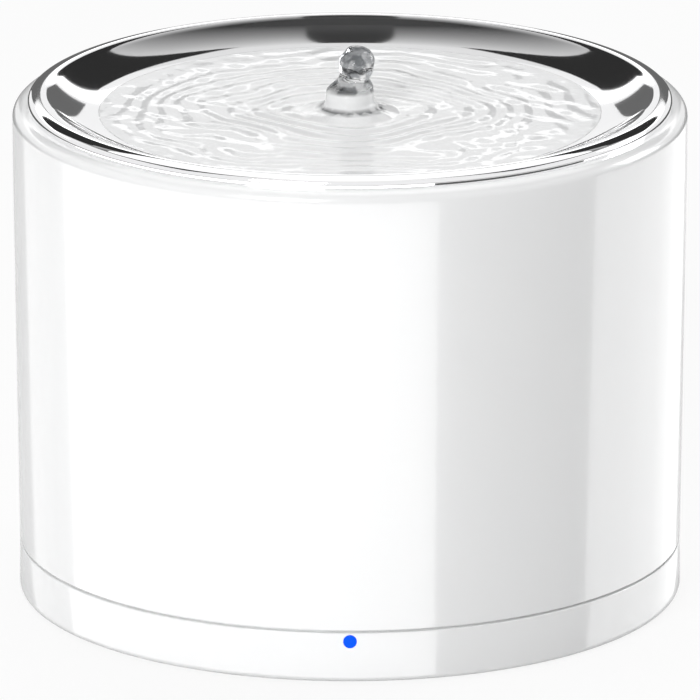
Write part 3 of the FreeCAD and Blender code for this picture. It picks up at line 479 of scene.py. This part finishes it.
class Workshop:
    """Makes turned pieces and hands them to the frame."""

    def __init__(self) -> None:
        """Builds the shared tree."""
        self.tree = TurnedTree()

    def turned(self, name: str, outline: Path, segments: int,
               material: bpy.types.Material) -> bpy.types.Object:
        """Turns an outline about the Z axis.

        Args:
            name: the piece's name.
            outline: radius and height of the outline's points.
            segments: the number of faces round the axis.
            material: the piece's finish.

        Returns:
            The finished object.
        """
        line = bpy.data.meshes.new(name + "_outline")
        edges = [(corner, corner + 1) for corner in range(len(outline) - 1)]
        line.from_pydata([(radius, 0.0, height) for radius, height in outline], edges, [])
        source = bpy.data.objects.new(name + "_outline", line)
        bpy.context.scene.collection.objects.link(source)
        modifier = source.modifiers.new("turned", "NODES")
        modifier.node_group = self.tree.tree
        inputs = {"Corners": len(outline), "Segments": segments, "Weld": WELD, "Finish": material}
        for key, value in inputs.items():
            modifier[self.tree.sockets[key].identifier] = value
        view = bpy.context.evaluated_depsgraph_get()
        mesh = bpy.data.meshes.new_from_object(source.evaluated_get(view), depsgraph=view)
        bpy.data.objects.remove(source)
        return self.settle(name, mesh, material)

    def settle(self, name: str, mesh: bpy.types.Mesh, material: bpy.types.Material,
               crease: float = CREASE) -> bpy.types.Object:
        """Turns a mesh's faces outwards, smooths it up to a crease angle and makes its object."""
        work = bmesh.new()
        work.from_mesh(mesh)
        if work.calc_volume(signed=True) < 0:
            bmesh.ops.reverse_faces(work, faces=work.faces)
        work.to_mesh(mesh)
        work.free()
        for face in mesh.polygons:
            face.use_smooth = True
        mesh.set_sharp_from_angle(angle=math.radians(crease))
        mesh.materials.clear()
        mesh.materials.append(material)
        mesh.name = name
        piece = bpy.data.objects.new(name, mesh)
        bpy.context.scene.collection.objects.link(piece)
        return piece

    @staticmethod
    def drilled(piece: bpy.types.Object, bores: list[tuple[Vector, Vector, float]]) -> bpy.types.Object:
        """Cuts round bores, each a start, an end and a radius, and returns the cut piece."""
        for start, end, radius in bores:
            work = bmesh.new()
            run = end - start
            turn = run.to_track_quat("Z", "Y").to_matrix().to_4x4()
            turn.translation = (start + end) / 2
            bmesh.ops.create_cone(work, cap_ends=True, segments=48, radius1=radius, radius2=radius,
                                  depth=run.length, matrix=turn)
            mesh = bpy.data.meshes.new("bore")
            work.to_mesh(mesh)
            work.free()
            tool = bpy.data.objects.new("bore", mesh)
            bpy.context.scene.collection.objects.link(tool)
            cut = piece.modifiers.new("bore", "BOOLEAN")
            cut.operation = "DIFFERENCE"
            cut.solver = "EXACT"
            cut.object = tool
            view = bpy.context.evaluated_depsgraph_get()
            result = bpy.data.meshes.new_from_object(piece.evaluated_get(view), depsgraph=view)
            piece.modifiers.clear()
            piece.data = result
            bpy.data.objects.remove(tool)
        piece.data.set_sharp_from_angle(angle=math.radians(CREASE))
        return piece

    def deliver(self, piece: bpy.types.Object, body: str, node: str) -> None:
        """Makes the piece ride on its body in place of its CAD node, and reports it."""
        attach(piece, body)
        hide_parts(node)
        LOG.info("%s rides on %s: %d faces", piece.name, body, len(piece.data.polygons))


@dataclass
class Base:
    """The base: a round shell with its power dome, bored for light, plug and button."""

    radius: float = 89.0 * MM
    taper: float = 0.1 * MM
    lift: float = 0.6 * MM
    edge: float = 1.6 * MM
    top: float = 14.2 * MM
    wall: float = 2.8 * MM
    roof: float = 1.8 * MM
    rabbet_radius: float = 84.4 * MM
    rabbet_low: float = 4.0 * MM
    rabbet_high: float = 5.0 * MM
    dome_radius: float = 28.0 * MM
    dome_top: float = 16.2 * MM
    dome_edge: float = 0.5 * MM
    seam_break: float = 0.3 * MM
    light_height: float = 11.9 * MM
    light_radius: float = 1.8 * MM
    light_depth: float = 1.4 * MM
    pipe_radius: float = 1.1 * MM
    pipe_depth: float = 12.0 * MM
    plug_height: float = 8.4 * MM
    plug_radius: float = 3.6 * MM
    button_angle: float = 11.5
    button_radius: float = 2.7 * MM
    bore_depth: float = 6.0 * MM
    segments: int = 256

    def outline(self) -> Path:
        """Returns the shell's outline."""
        inner = self.radius - self.wall
        under = self.top - self.roof
        upper = self.radius - self.taper
        dome_inner = self.dome_radius - self.roof
        dome_under = self.dome_top - self.roof
        dome_bend = (self.dome_radius - self.dome_edge, self.dome_top - self.dome_edge)
        seam_bend = (upper - self.seam_break, self.top - self.seam_break)
        foot_bend = (self.radius - self.edge, self.lift + self.edge)
        return [
            (0.0, dome_under), (0.0, self.dome_top),
            *bend(dome_bend, self.dome_edge, 90, 0, 6),
            (self.dome_radius, self.top),
            *bend(seam_bend, self.seam_break, 90, 0, 6),
            *bend(foot_bend, self.edge, 0, -90, 12),
            (inner, self.lift), (inner, self.rabbet_low), (self.rabbet_radius, self.rabbet_low),
            (self.rabbet_radius, self.rabbet_high), (inner, self.rabbet_high), (inner, under),
            (dome_inner, under), (dome_inner, dome_under), (0.0, dome_under),
        ]

    def build(self, shop: Workshop) -> None:
        """Makes the shell and hands it over."""
        shell = shop.turned("base_skin", self.outline(), self.segments, GLOSS_WHITE.material())
        turn = math.radians(self.button_angle)
        ray = Vector((math.sin(turn), math.cos(turn), 0.0))
        rear = Vector((0.0, 1.0, 0.0))
        light = Vector((0.0, -self.radius, self.light_height))
        plug = Vector((0.0, self.radius, self.plug_height))
        button = ray * self.radius + Vector((0.0, 0.0, self.plug_height))
        shop.drilled(shell, [
            (light - rear * MM, light + rear * self.light_depth, self.light_radius),
            (light, light + rear * self.pipe_depth, self.pipe_radius),
            (plug + rear * MM, plug - rear * self.bore_depth, self.plug_radius),
            (button + ray * MM, button - ray * self.bore_depth, self.button_radius),
        ])
        shop.deliver(shell, "base", "base_shell")


@dataclass
class Tank:
    """The tank: a tapered round shell with a rounded shoulder, a ledge and a pump seat."""

    radius: float = 90.0 * MM
    widest: float = 120.0 * MM
    foot_radius: float = 88.9 * MM
    foot_bend: float = 6.0 * MM
    shoulder: float = 134.0 * MM
    rounding: float = 3.0 * MM
    wall: float = 2.8 * MM
    mouth: float = 83.4 * MM
    mouth_bend: float = 0.6 * MM
    mouth_depth: float = 2.4 * MM
    mouth_slant: float = 3.0 * MM
    bottom: float = 14.2 * MM
    seam_gap: float = 0.6 * MM
    seam_depth: float = 1.4 * MM
    seam_break: float = 0.3 * MM
    ledge: float = 102.0 * MM
    ledge_radius: float = 80.5 * MM
    ledge_edge: float = 1.5 * MM
    ledge_depth: float = 7.0 * MM
    recess_radius: float = 28.4 * MM
    recess: float = 16.4 * MM
    seat_radius: float = 31.0 * MM
    seat: float = 19.0 * MM
    seat_wall: float = 2.0 * MM
    seat_depth: float = 3.0 * MM
    segments: int = 256

    def inner_at(self, height: float) -> float:
        """Returns the radius of the inner wall at a height."""
        start = self.bottom + self.wall + self.foot_bend
        rise = (self.radius - self.foot_radius) / (self.widest - start)
        return self.foot_radius - self.wall + rise * (height - start)

    def outside(self) -> Path:
        """Returns the outline from the recess below, up the wall and over the shoulder."""
        gap_top = self.bottom + self.seam_gap
        seam = self.foot_radius - self.seam_depth
        seam_bend = (self.foot_radius - self.seam_break, gap_top + self.seam_break)
        shoulder_bend = (self.radius - self.rounding, self.shoulder - self.rounding)
        mouth_bend = (self.mouth + self.mouth_bend, self.shoulder - self.mouth_bend)
        return [
            (0.0, self.recess), (self.recess_radius, self.recess), (self.recess_radius, self.bottom),
            (seam, self.bottom), (seam, gap_top),
            *bend(seam_bend, self.seam_break, -90, 0, 6),
            (self.radius, self.widest),
            *bend(shoulder_bend, self.rounding, 0, 90, 16),
            *bend(mouth_bend, self.mouth_bend, 90, 180, 8),
        ]

    def inside(self) -> Path:
        """Returns the outline from the mouth down the inner wall to the pump seat."""
        floor = self.bottom + self.wall
        upper = self.radius - self.wall
        mouth_under = self.shoulder - self.mouth_depth
        ledge_foot = self.ledge - self.ledge_depth
        foot_bend = (self.foot_radius - self.wall - self.foot_bend, floor + self.foot_bend)
        seat_outer = self.seat_radius + self.seat_wall
        seat_top = self.seat + self.seat_depth
        return [
            (self.mouth, mouth_under), (upper, mouth_under - self.mouth_slant), (upper, self.widest),
            (self.inner_at(self.ledge), self.ledge), (self.ledge_radius, self.ledge),
            (self.ledge_radius, self.ledge - self.ledge_edge), (self.inner_at(ledge_foot), ledge_foot),
            *bend(foot_bend, self.foot_bend, 0, -90, 10),
            (seat_outer, floor), (seat_outer, seat_top), (self.seat_radius, seat_top),
            (self.seat_radius, self.seat), (0.0, self.seat),
        ]

    def build(self, shop: Workshop) -> None:
        """Makes the tank and hands it over."""
        outline = self.outside() + self.inside()
        skin = shop.turned("tank_skin", outline, self.segments, GLOSS_WHITE.material())
        shop.deliver(skin, "tank_body", "tank")


@dataclass
class Tray:
    """The steel drinking tray: a shallow dish with a rolled lip and drain holes."""

    radius: float = 86.0 * MM
    crest_roll: float = 6.0 * MM
    crest_height: float = 131.1 * MM
    crest_turn: float = 20.0
    edge_roll: float = 2.0 * MM
    sheet: float = 0.9 * MM
    rest: float = 134.0 * MM
    level: float = 131.8 * MM
    wall_slope: float = 31.39
    wall_curve: float = 32.44 * MM
    floor_curve: float = 474.0 * MM
    floor_edge: float = 67.2 * MM
    hole: float = 8.2 * MM
    drains: int = 8
    drain_circle: float = 22.0 * MM
    drain_radius: float = 2.4 * MM
    drain_span: tuple[float, float] = (120.0 * MM, 132.0 * MM)
    segments: int = 360

    def height(self, radius: float, lift: float = 0.0) -> float:
        """Returns the height of the dish's floor at a radius, moved up by lift."""
        centre = self.level + math.sqrt(self.floor_curve ** 2 - self.floor_edge ** 2)
        return centre - math.sqrt((self.floor_curve - lift) ** 2 - radius ** 2)

    def slope(self, start: float, end: float, lift: float, count: int) -> Path:
        """Returns points along the dish's floor between two radii."""
        radii = [start + (end - start) * step / (count - 1) for step in range(count)]
        return [(radius, self.height(radius, lift)) for radius in radii]

    def outline(self) -> Path:
        """Returns the tray's outline: floor, wall, crest and edge, then back along the underside."""
        foot = math.asin(self.floor_edge / self.floor_curve)
        turn = math.radians(self.crest_turn)
        reach = self.crest_roll - self.edge_roll
        crest = (self.radius - self.edge_roll - reach * math.sin(turn), self.crest_height)
        edge = (crest[0] + reach * math.sin(turn), self.crest_height + reach * math.cos(turn))
        top = 90.0 + self.wall_slope
        wall_from = math.radians(self.wall_slope)
        wall = (crest[0] - (self.crest_roll + self.wall_curve) * math.sin(wall_from),
                crest[1] + (self.crest_roll + self.wall_curve) * math.cos(wall_from))
        low, high = math.degrees(foot) - 90.0, self.wall_slope - 90.0
        lower_edge = self.floor_edge * (1.0 + self.sheet / self.floor_curve)
        upper = self.slope(self.hole, self.floor_edge, 0.0, 48)
        return [
            *upper,
            *bend(wall, self.wall_curve, low, high, 32)[1:],
            *bend(crest, self.crest_roll, top, 90.0 - self.crest_turn, 40)[1:],
            *bend(edge, self.edge_roll, 90.0 - self.crest_turn, 0.0, 24)[1:],
            (self.radius, self.rest), (self.radius - self.sheet, self.rest),
            *bend(edge, self.edge_roll - self.sheet, 0.0, 90.0 - self.crest_turn, 16),
            *bend(crest, self.crest_roll - self.sheet, 90.0 - self.crest_turn, top, 24)[1:],
            *bend(wall, self.wall_curve + self.sheet, high, low, 24)[1:-1],
            *self.slope(lower_edge, self.hole, -self.sheet, 40),
            upper[0],
        ]

    def build(self, shop: Workshop) -> None:
        """Makes the tray, bores its drain holes and hands it over."""
        dish = shop.turned("tray_skin", self.outline(), self.segments, STEEL.material())
        bores = []
        for step in range(self.drains):
            turn = (step + 0.5) * FULL_TURN / self.drains
            x, y = self.drain_circle * math.cos(turn), self.drain_circle * math.sin(turn)
            low, high = (Vector((x, y, height)) for height in self.drain_span)
            bores.append((low, high, self.drain_radius))
        shop.drilled(dish, bores)
        shop.deliver(dish, "tray", "drinking_tray")


@dataclass
class Water:
    """The rippled pool and the lumpy jet over the spout."""

    tray: Tray
    level: float = 131.8 * MM
    edge: float = 67.1 * MM
    film: float = 0.03 * MM
    flange: float = 13.05 * MM
    flange_top: float = 129.75 * MM
    jet_foot: float = 13.0 * MM
    segments: int = 288
    pool_steps: int = 120
    bed_steps: int = 24
    ripple: float = 0.15 * MM
    wave: float = 7.5 * MM
    cross_wave: float = 11.0 * MM
    calm_span: float = 9.0 * MM
    ring_start: float = 12.0 * MM
    ring_fade: float = 26.0 * MM
    drift_scale: float = 45.0
    fine_scale: float = 120.0
    jet_rise: float = 0.8 * MM
    join_rise: float = 4.0 * MM
    head_rise: float = 6.0 * MM
    head_span: float = 5.0 * MM
    lump: float = 0.9 * MM
    lump_scale: float = 170.0
    grit: float = 0.35 * MM
    grit_scale: float = 420.0
    lean: float = 1.7 * MM
    jet: Path = field(default_factory=lambda: [
        (9.6, 0.8), (7.8, 1.4), (6.7, 2.6), (6.5, 4.2), (6.3, 5.8), (5.5, 7.3), (4.6, 8.4), (4.3, 9.3),
        (4.7, 10.8), (5.0, 12.6), (4.8, 14.4), (4.0, 16.1), (2.6, 17.3), (1.2, 17.8), (0.0, 17.9),
    ])

    def outline(self) -> Path:
        """Returns the still outline, from the flange round the dish to the jet's top."""
        bottom = self.tray.slope(self.flange, self.edge, self.film, self.bed_steps)
        stride = (self.edge - self.jet_foot) / self.pool_steps
        pool = [(self.edge - stride * step, self.level) for step in range(self.pool_steps + 1)]
        jet = [(r * MM, self.level + z * MM) for r, z in self.smooth(self.jet)]
        return [(0.0, self.flange_top), (self.flange, self.flange_top)] + bottom + pool + jet

    @staticmethod
    def smooth(points: Path) -> Path:
        """Returns a Catmull-Rom line through the points, six steps to a stretch."""
        line = [points[0]] + points + [points[-1]]
        result = []
        for a, b, c, d in zip(line, line[1:], line[2:], line[3:]):
            for step in range(6):
                t = step / 6
                result.append(tuple(
                    0.5 * (2 * q + (r - p) * t + (2 * p - 5 * q + 4 * r - s) * t * t
                           + (3 * q - p - 3 * r + s) * t ** 3)
                    for p, q, r, s in zip(a, b, c, d)
                ))
        return result + [points[-1]]

    def swell(self, point: Vector) -> float:
        """Returns how far the ripples raise the surface at a point."""
        radius = math.hypot(point.x, point.y)
        drift = noise.noise(Vector((point.x, point.y, 0.3)) * self.drift_scale)
        fine = noise.noise(Vector((point.x, point.y, 7.1)) * self.fine_scale)
        calm = min(1.0, max(0.0, (self.edge - radius) / self.calm_span))
        fade = math.exp(-max(0.0, radius - self.ring_start) / self.ring_fade)
        ring = math.sin(FULL_TURN * (radius / self.wave) + drift * 8.0)
        cross = math.sin(FULL_TURN * (point.x * 0.8 + point.y) / self.cross_wave + fine * 3.0)
        return self.ripple * calm * (ring * (0.4 + 1.4 * fade) + cross * 0.4 + fine * 0.9)

    def lifted(self, point: Vector) -> Vector:
        """Returns a point of the still surface moved by ripples, or by the jet's lumps."""
        rise = point.z - self.level
        if rise < -WELD / 10:
            return point
        lift = self.swell(point)
        if rise < self.jet_rise:
            return point + Vector((0.0, 0.0, lift))
        share = min(1.0, rise / self.join_rise)
        head = min(1.0, max(0.0, (rise - self.head_rise) / self.head_span))
        lump = noise.noise(point * self.lump_scale) * self.lump
        lump += noise.noise(point * self.grit_scale) * self.grit
        lump *= 0.3 + 0.7 * head
        flat = Vector((point.x, point.y, 0.0))
        out = flat.normalized() if flat.length > WELD else Vector()
        side = Vector((self.lean * head, 0.0, 0.0))
        tip = Vector((0.0, 0.0, min(0.0, lump) * 0.6 + lift * (1.0 - share)))
        return point + out * lump * share + side + tip

    def build(self, shop: Workshop) -> None:
        """Makes the water and hands it over."""
        material = WaterFinish(self.level).material()
        piece = shop.turned("water_skin", self.outline(), self.segments, material)
        for vertex in piece.data.vertices:
            vertex.co = self.lifted(vertex.co)
        piece.data.update()
        piece.data.set_sharp_from_angle(angle=math.pi)
        shop.deliver(piece, "tray", "drinking_water")


@dataclass(frozen=True, kw_only=True)
class Card:
    """A glowing card that only reflections see, stretched between two rows of points.

    Its brightness goes from shade to rear_shade, where it has one, along +Y over the fade.
    """

    name: str
    shade: float
    rear_shade: float | None = None
    fade: tuple[float, float] = (0.0, 1.0)

    def rows(self) -> list[tuple[Vector, Vector]]:
        """Returns the points of the two rows, pair by pair."""
        raise NotImplementedError

    def material(self) -> bpy.types.Material:
        """Returns the card's glow."""
        paint = Painter(self.name)
        _, along, _ = paint.axes()
        start, end = self.fade
        rear = self.shade if self.rear_shade is None else self.rear_shade
        glow = paint.blend(paint.clamp((along - start) / (end - start)), (self.shade,) * 3, (rear,) * 3)
        return paint.finish(paint.node("ShaderNodeEmission", {}, {"Color": glow, "Strength": 1.0}))

    def build(self) -> None:
        """Makes the card and puts it on the stage."""
        pairs = self.rows()
        points = [tuple(point) for pair in pairs for point in pair]
        faces = [(step, step + 2, step + 3, step + 1) for step in range(0, len(points) - 2, 2)]
        mesh = bpy.data.meshes.new(self.name)
        mesh.from_pydata(points, [], faces)
        mesh.materials.append(self.material())
        card = bpy.data.objects.new(self.name, mesh)
        card.visible_camera = False
        card.visible_diffuse = False
        card.visible_shadow = False
        card.visible_transmission = False
        bpy.context.scene.collection.objects.link(card)


@dataclass(frozen=True, kw_only=True)
class LevelCard(Card):
    """A level card with its own half width at its front and at its rear edge."""

    halves: tuple[float, float]
    reach: tuple[float, float]
    height: float

    def rows(self) -> list[tuple[Vector, Vector]]:
        """Returns the left and right corners, front first."""
        return [(Vector((-half, along, self.height)), Vector((half, along, self.height)))
                for half, along in zip(self.halves, self.reach)]


@dataclass(frozen=True, kw_only=True)
class DomeCard(Card):
    """A card on a dome round the dish, between two turns from the rear and two rises, in degrees."""

    turns: tuple[float, float]
    rises: tuple[float, float]
    distance: float = 1.6
    steps: int = 12

    def rows(self) -> list[tuple[Vector, Vector]]:
        """Returns the lower and upper points, turn by turn."""
        pairs = []
        for step in range(self.steps + 1):
            around = math.radians(self.turns[0] + (self.turns[1] - self.turns[0]) * step / self.steps)
            spots = []
            for rise in map(math.radians, self.rises):
                level = self.distance * math.cos(rise)
                height = DISH_HEIGHT + self.distance * math.sin(rise)
                spots.append(Vector((level * math.sin(around), level * math.cos(around), height)))
            pairs.append(tuple(spots))
        return pairs


@dataclass(frozen=True, kw_only=True)
class FloorCard(Card):
    """A card on the floor that the upright wall mirrors between two turns from the front, in degrees.

    Its long sides run the way the mirrored view does, so the edges look upright on the wall.
    """

    turns: tuple[float, float]
    foot: float = 0.091
    reach: float = 0.6
    height: float = 0.4 * MM
    steps: int = 24

    def rows(self) -> list[tuple[Vector, Vector]]:
        """Returns the near and far points, turn by turn."""
        pairs = []
        for step in range(self.steps + 1):
            turn = math.radians(self.turns[0] + (self.turns[1] - self.turns[0]) * step / self.steps)
            near = Vector((math.sin(turn), -math.cos(turn), 0.0)) * self.foot
            near.z = self.height
            far = near + Vector((math.sin(2 * turn), -math.cos(2 * turn), 0.0)) * self.reach
            pairs.append((near, far))
        return pairs


@dataclass(frozen=True, kw_only=True)
class LipCard(Card):
    """An arc over the front of the rolled lip, which only the lip mirrors."""

    turn: float = 62.0
    radii: tuple[float, float] = (0.056, 0.095)
    height: float = 0.157
    steps: int = 24

    def rows(self) -> list[tuple[Vector, Vector]]:
        """Returns the inner and outer points, turn by turn."""
        pairs = []
        for step in range(self.steps + 1):
            around = math.radians(self.turn * (2.0 * step / self.steps - 1.0))
            pairs.append(tuple(Vector((radius * math.sin(around), -radius * math.cos(around), self.height))
                               for radius in self.radii))
        return pairs


CARDS: tuple[Card, ...] = (
    LevelCard(name="ceiling_card", shade=0.035, rear_shade=0.85, fade=(0.45, 1.35), halves=(1.2, 1.2),
              reach=(-0.5, 1.9), height=1.13),
    LevelCard(name="middle_card", shade=0.05, halves=(0.085, 0.024), reach=(0.44, 1.27), height=1.12),
    LipCard(name="lip_card", shade=1.25),
    DomeCard(name="right_flag", shade=0.03, turns=(5.0, 46.0), rises=(21.0, 42.0)),
    DomeCard(name="left_flag", shade=0.03, turns=(-46.0, -5.0), rises=(21.0, 42.0)),
    DomeCard(name="bright_band", shade=2.4, turns=(-60.0, 60.0), rises=(16.9, 20.4)),
    DomeCard(name="right_horizon", shade=0.15, turns=(4.0, 16.0), rises=(-4.0, 15.6)),
    DomeCard(name="left_horizon", shade=0.15, turns=(-16.0, -4.0), rises=(-4.0, 15.6)),
    LevelCard(name="far_card", shade=0.12, halves=(4.0, 4.0), reach=(0.5, 5.0), height=0.4 * MM),
    FloorCard(name="front_floor", shade=3.0, turns=(-57.4, 15.0)),
    FloorCard(name="right_floor", shade=0.12, turns=(15.0, 46.0)),
    FloorCard(name="left_floor", shade=1.5, turns=(-74.0, -57.4)),
    FloorCard(name="side_floor", shade=2.0, turns=(46.0, 63.5)),
    FloorCard(name="edge_floor", shade=1.8, turns=(63.5, 82.0)),
)


@dataclass(frozen=True)
class Lamp:
    """A square soft light that faces the object."""

    name: str
    place: Place
    size: float
    power: float

    def build(self) -> None:
        """Makes the lamp."""
        data = bpy.data.lights.new(self.name, "AREA")
        data.size = self.size
        data.energy = self.power
        lamp = bpy.data.objects.new(self.name, data)
        lamp.location = self.place
        aim = Vector((0.0, 0.0, 0.07)) - Vector(self.place)
        lamp.rotation_euler = aim.to_track_quat("-Z", "Y").to_euler()
        bpy.context.scene.collection.objects.link(lamp)


LAMPS = (
    Lamp("key", (-0.85, -2.05, 1.0), 1.0, 32.0),
    Lamp("top", (0.0, 0.6, 2.2), 1.2, 18.0),
    Lamp("side", (1.81, 0.85, 0.7), 0.8, 12.0),
)


@dataclass
class Studio:
    """The pale floor, the soft world and the camera at the photograph's angle."""

    distance: float = 3.0
    elevation: float = 16.4
    aim_height: float = 65.4 * MM
    lens: float = 575.0
    film_width: float = 36.0
    world_light: float = 0.3
    floor_half: float = 6.0
    floor_glow: float = 0.88

    def camera(self) -> None:
        """Makes the camera."""
        data = bpy.data.cameras.new("view")
        data.lens = self.lens
        data.sensor_width = self.film_width
        data.clip_end = 50.0
        tilt = math.radians(self.elevation)
        eye = bpy.data.objects.new("view", data)
        rise = self.distance * math.sin(tilt)
        eye.location = (0.0, -self.distance * math.cos(tilt), self.aim_height + rise)
        eye.rotation_euler = (math.pi / 2 - tilt, 0.0, 0.0)
        bpy.context.scene.collection.objects.link(eye)
        bpy.context.scene.camera = eye

    def world(self) -> None:
        """Makes a world that is white behind the object and softer as a light."""
        world = bpy.data.worlds.new("studio")
        world.use_nodes = True
        bpy.context.scene.world = world
        tree = world.node_tree
        tree.nodes.clear()
        rays = tree.nodes.new("ShaderNodeLightPath")
        seen = rays.outputs["Is Camera Ray"]
        for kind in ("Is Transmission Ray", "Is Glossy Ray"):
            either = tree.nodes.new("ShaderNodeMath")
            either.operation = "MAXIMUM"
            tree.links.new(seen, either.inputs[0])
            tree.links.new(rays.outputs[kind], either.inputs[1])
            seen = either.outputs[0]
        strength = tree.nodes.new("ShaderNodeMapRange")
        strength.inputs["To Min"].default_value = self.world_light
        strength.inputs["To Max"].default_value = 1.0
        tree.links.new(seen, strength.inputs["Value"])
        light = tree.nodes.new("ShaderNodeBackground")
        tree.links.new(strength.outputs[0], light.inputs["Strength"])
        light.inputs["Color"].default_value = (1.0, 1.0, 1.0, 1.0)
        end = tree.nodes.new("ShaderNodeOutputWorld")
        tree.links.new(light.outputs[0], end.inputs[0])

    def floor(self) -> None:
        """Makes the floor, which stays near white in view and keeps a faint shadow."""
        paint = Painter("floor_white")
        rays = paint.node("ShaderNodeLightPath", {}, {})
        grain = paint.speckle(30.0)
        tone = paint.blend(grain, (0.86,) * 3, (0.88,) * 3)
        matte = paint.node("ShaderNodeBsdfDiffuse", {}, {"Color": tone})
        lit = paint.node("ShaderNodeEmission", {}, {"Color": (1.0, 1.0, 1.0, 1.0), "Strength": 1.0})
        share = Socket(paint, rays.outputs["Is Camera Ray"]) * self.floor_glow
        mix = paint.node("ShaderNodeMixShader", {}, {0: share})
        paint.tree.links.new(matte.outputs[0], mix.inputs[1])
        paint.tree.links.new(lit.outputs[0], mix.inputs[2])
        mesh = bpy.data.meshes.new("floor")
        half = self.floor_half
        corners = [(-half, -half, 0), (half, -half, 0), (half, half, 0), (-half, half, 0)]
        mesh.from_pydata(corners, [], [(0, 1, 2, 3)])
        mesh.materials.append(paint.finish(mix))
        plane = bpy.data.objects.new("floor", mesh)
        bpy.context.scene.collection.objects.link(plane)

    def build(self) -> None:
        """Makes the whole studio."""
        self.camera()
        self.world()
        self.floor()
        for part in (*LAMPS, *CARDS):
            part.build()


def dress_frame(frame: dict[str, Any]) -> None:
    """Gives every carried-over CAD node the finish of its material slot."""
    slots = {row["node"]: row["material_slot"] for row in frame["record"]["subparts"]}
    for name, node in frame["nodes"].items():
        finish = FINISHES.get(slots.get(name, ""))
        if finish is None:
            continue
        if not node.material_slots:
            node.data.materials.append(finish.material())
        for place in node.material_slots:
            place.material = finish.material()
        LOG.info("%s is dressed in %s", name, finish.name)


def main() -> None:
    """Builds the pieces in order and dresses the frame."""
    logging.basicConfig(level=logging.INFO, format="%(message)s")
    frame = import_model()
    shop = Workshop()
    dress_frame(frame)
    tray = Tray()
    Base().build(shop)
    Tank().build(shop)
    tray.build(shop)
    Water(tray).build(shop)
    Studio().build()
    bpy.context.scene.view_settings.view_transform = "Standard"


if __name__ == "__main__":
    main()
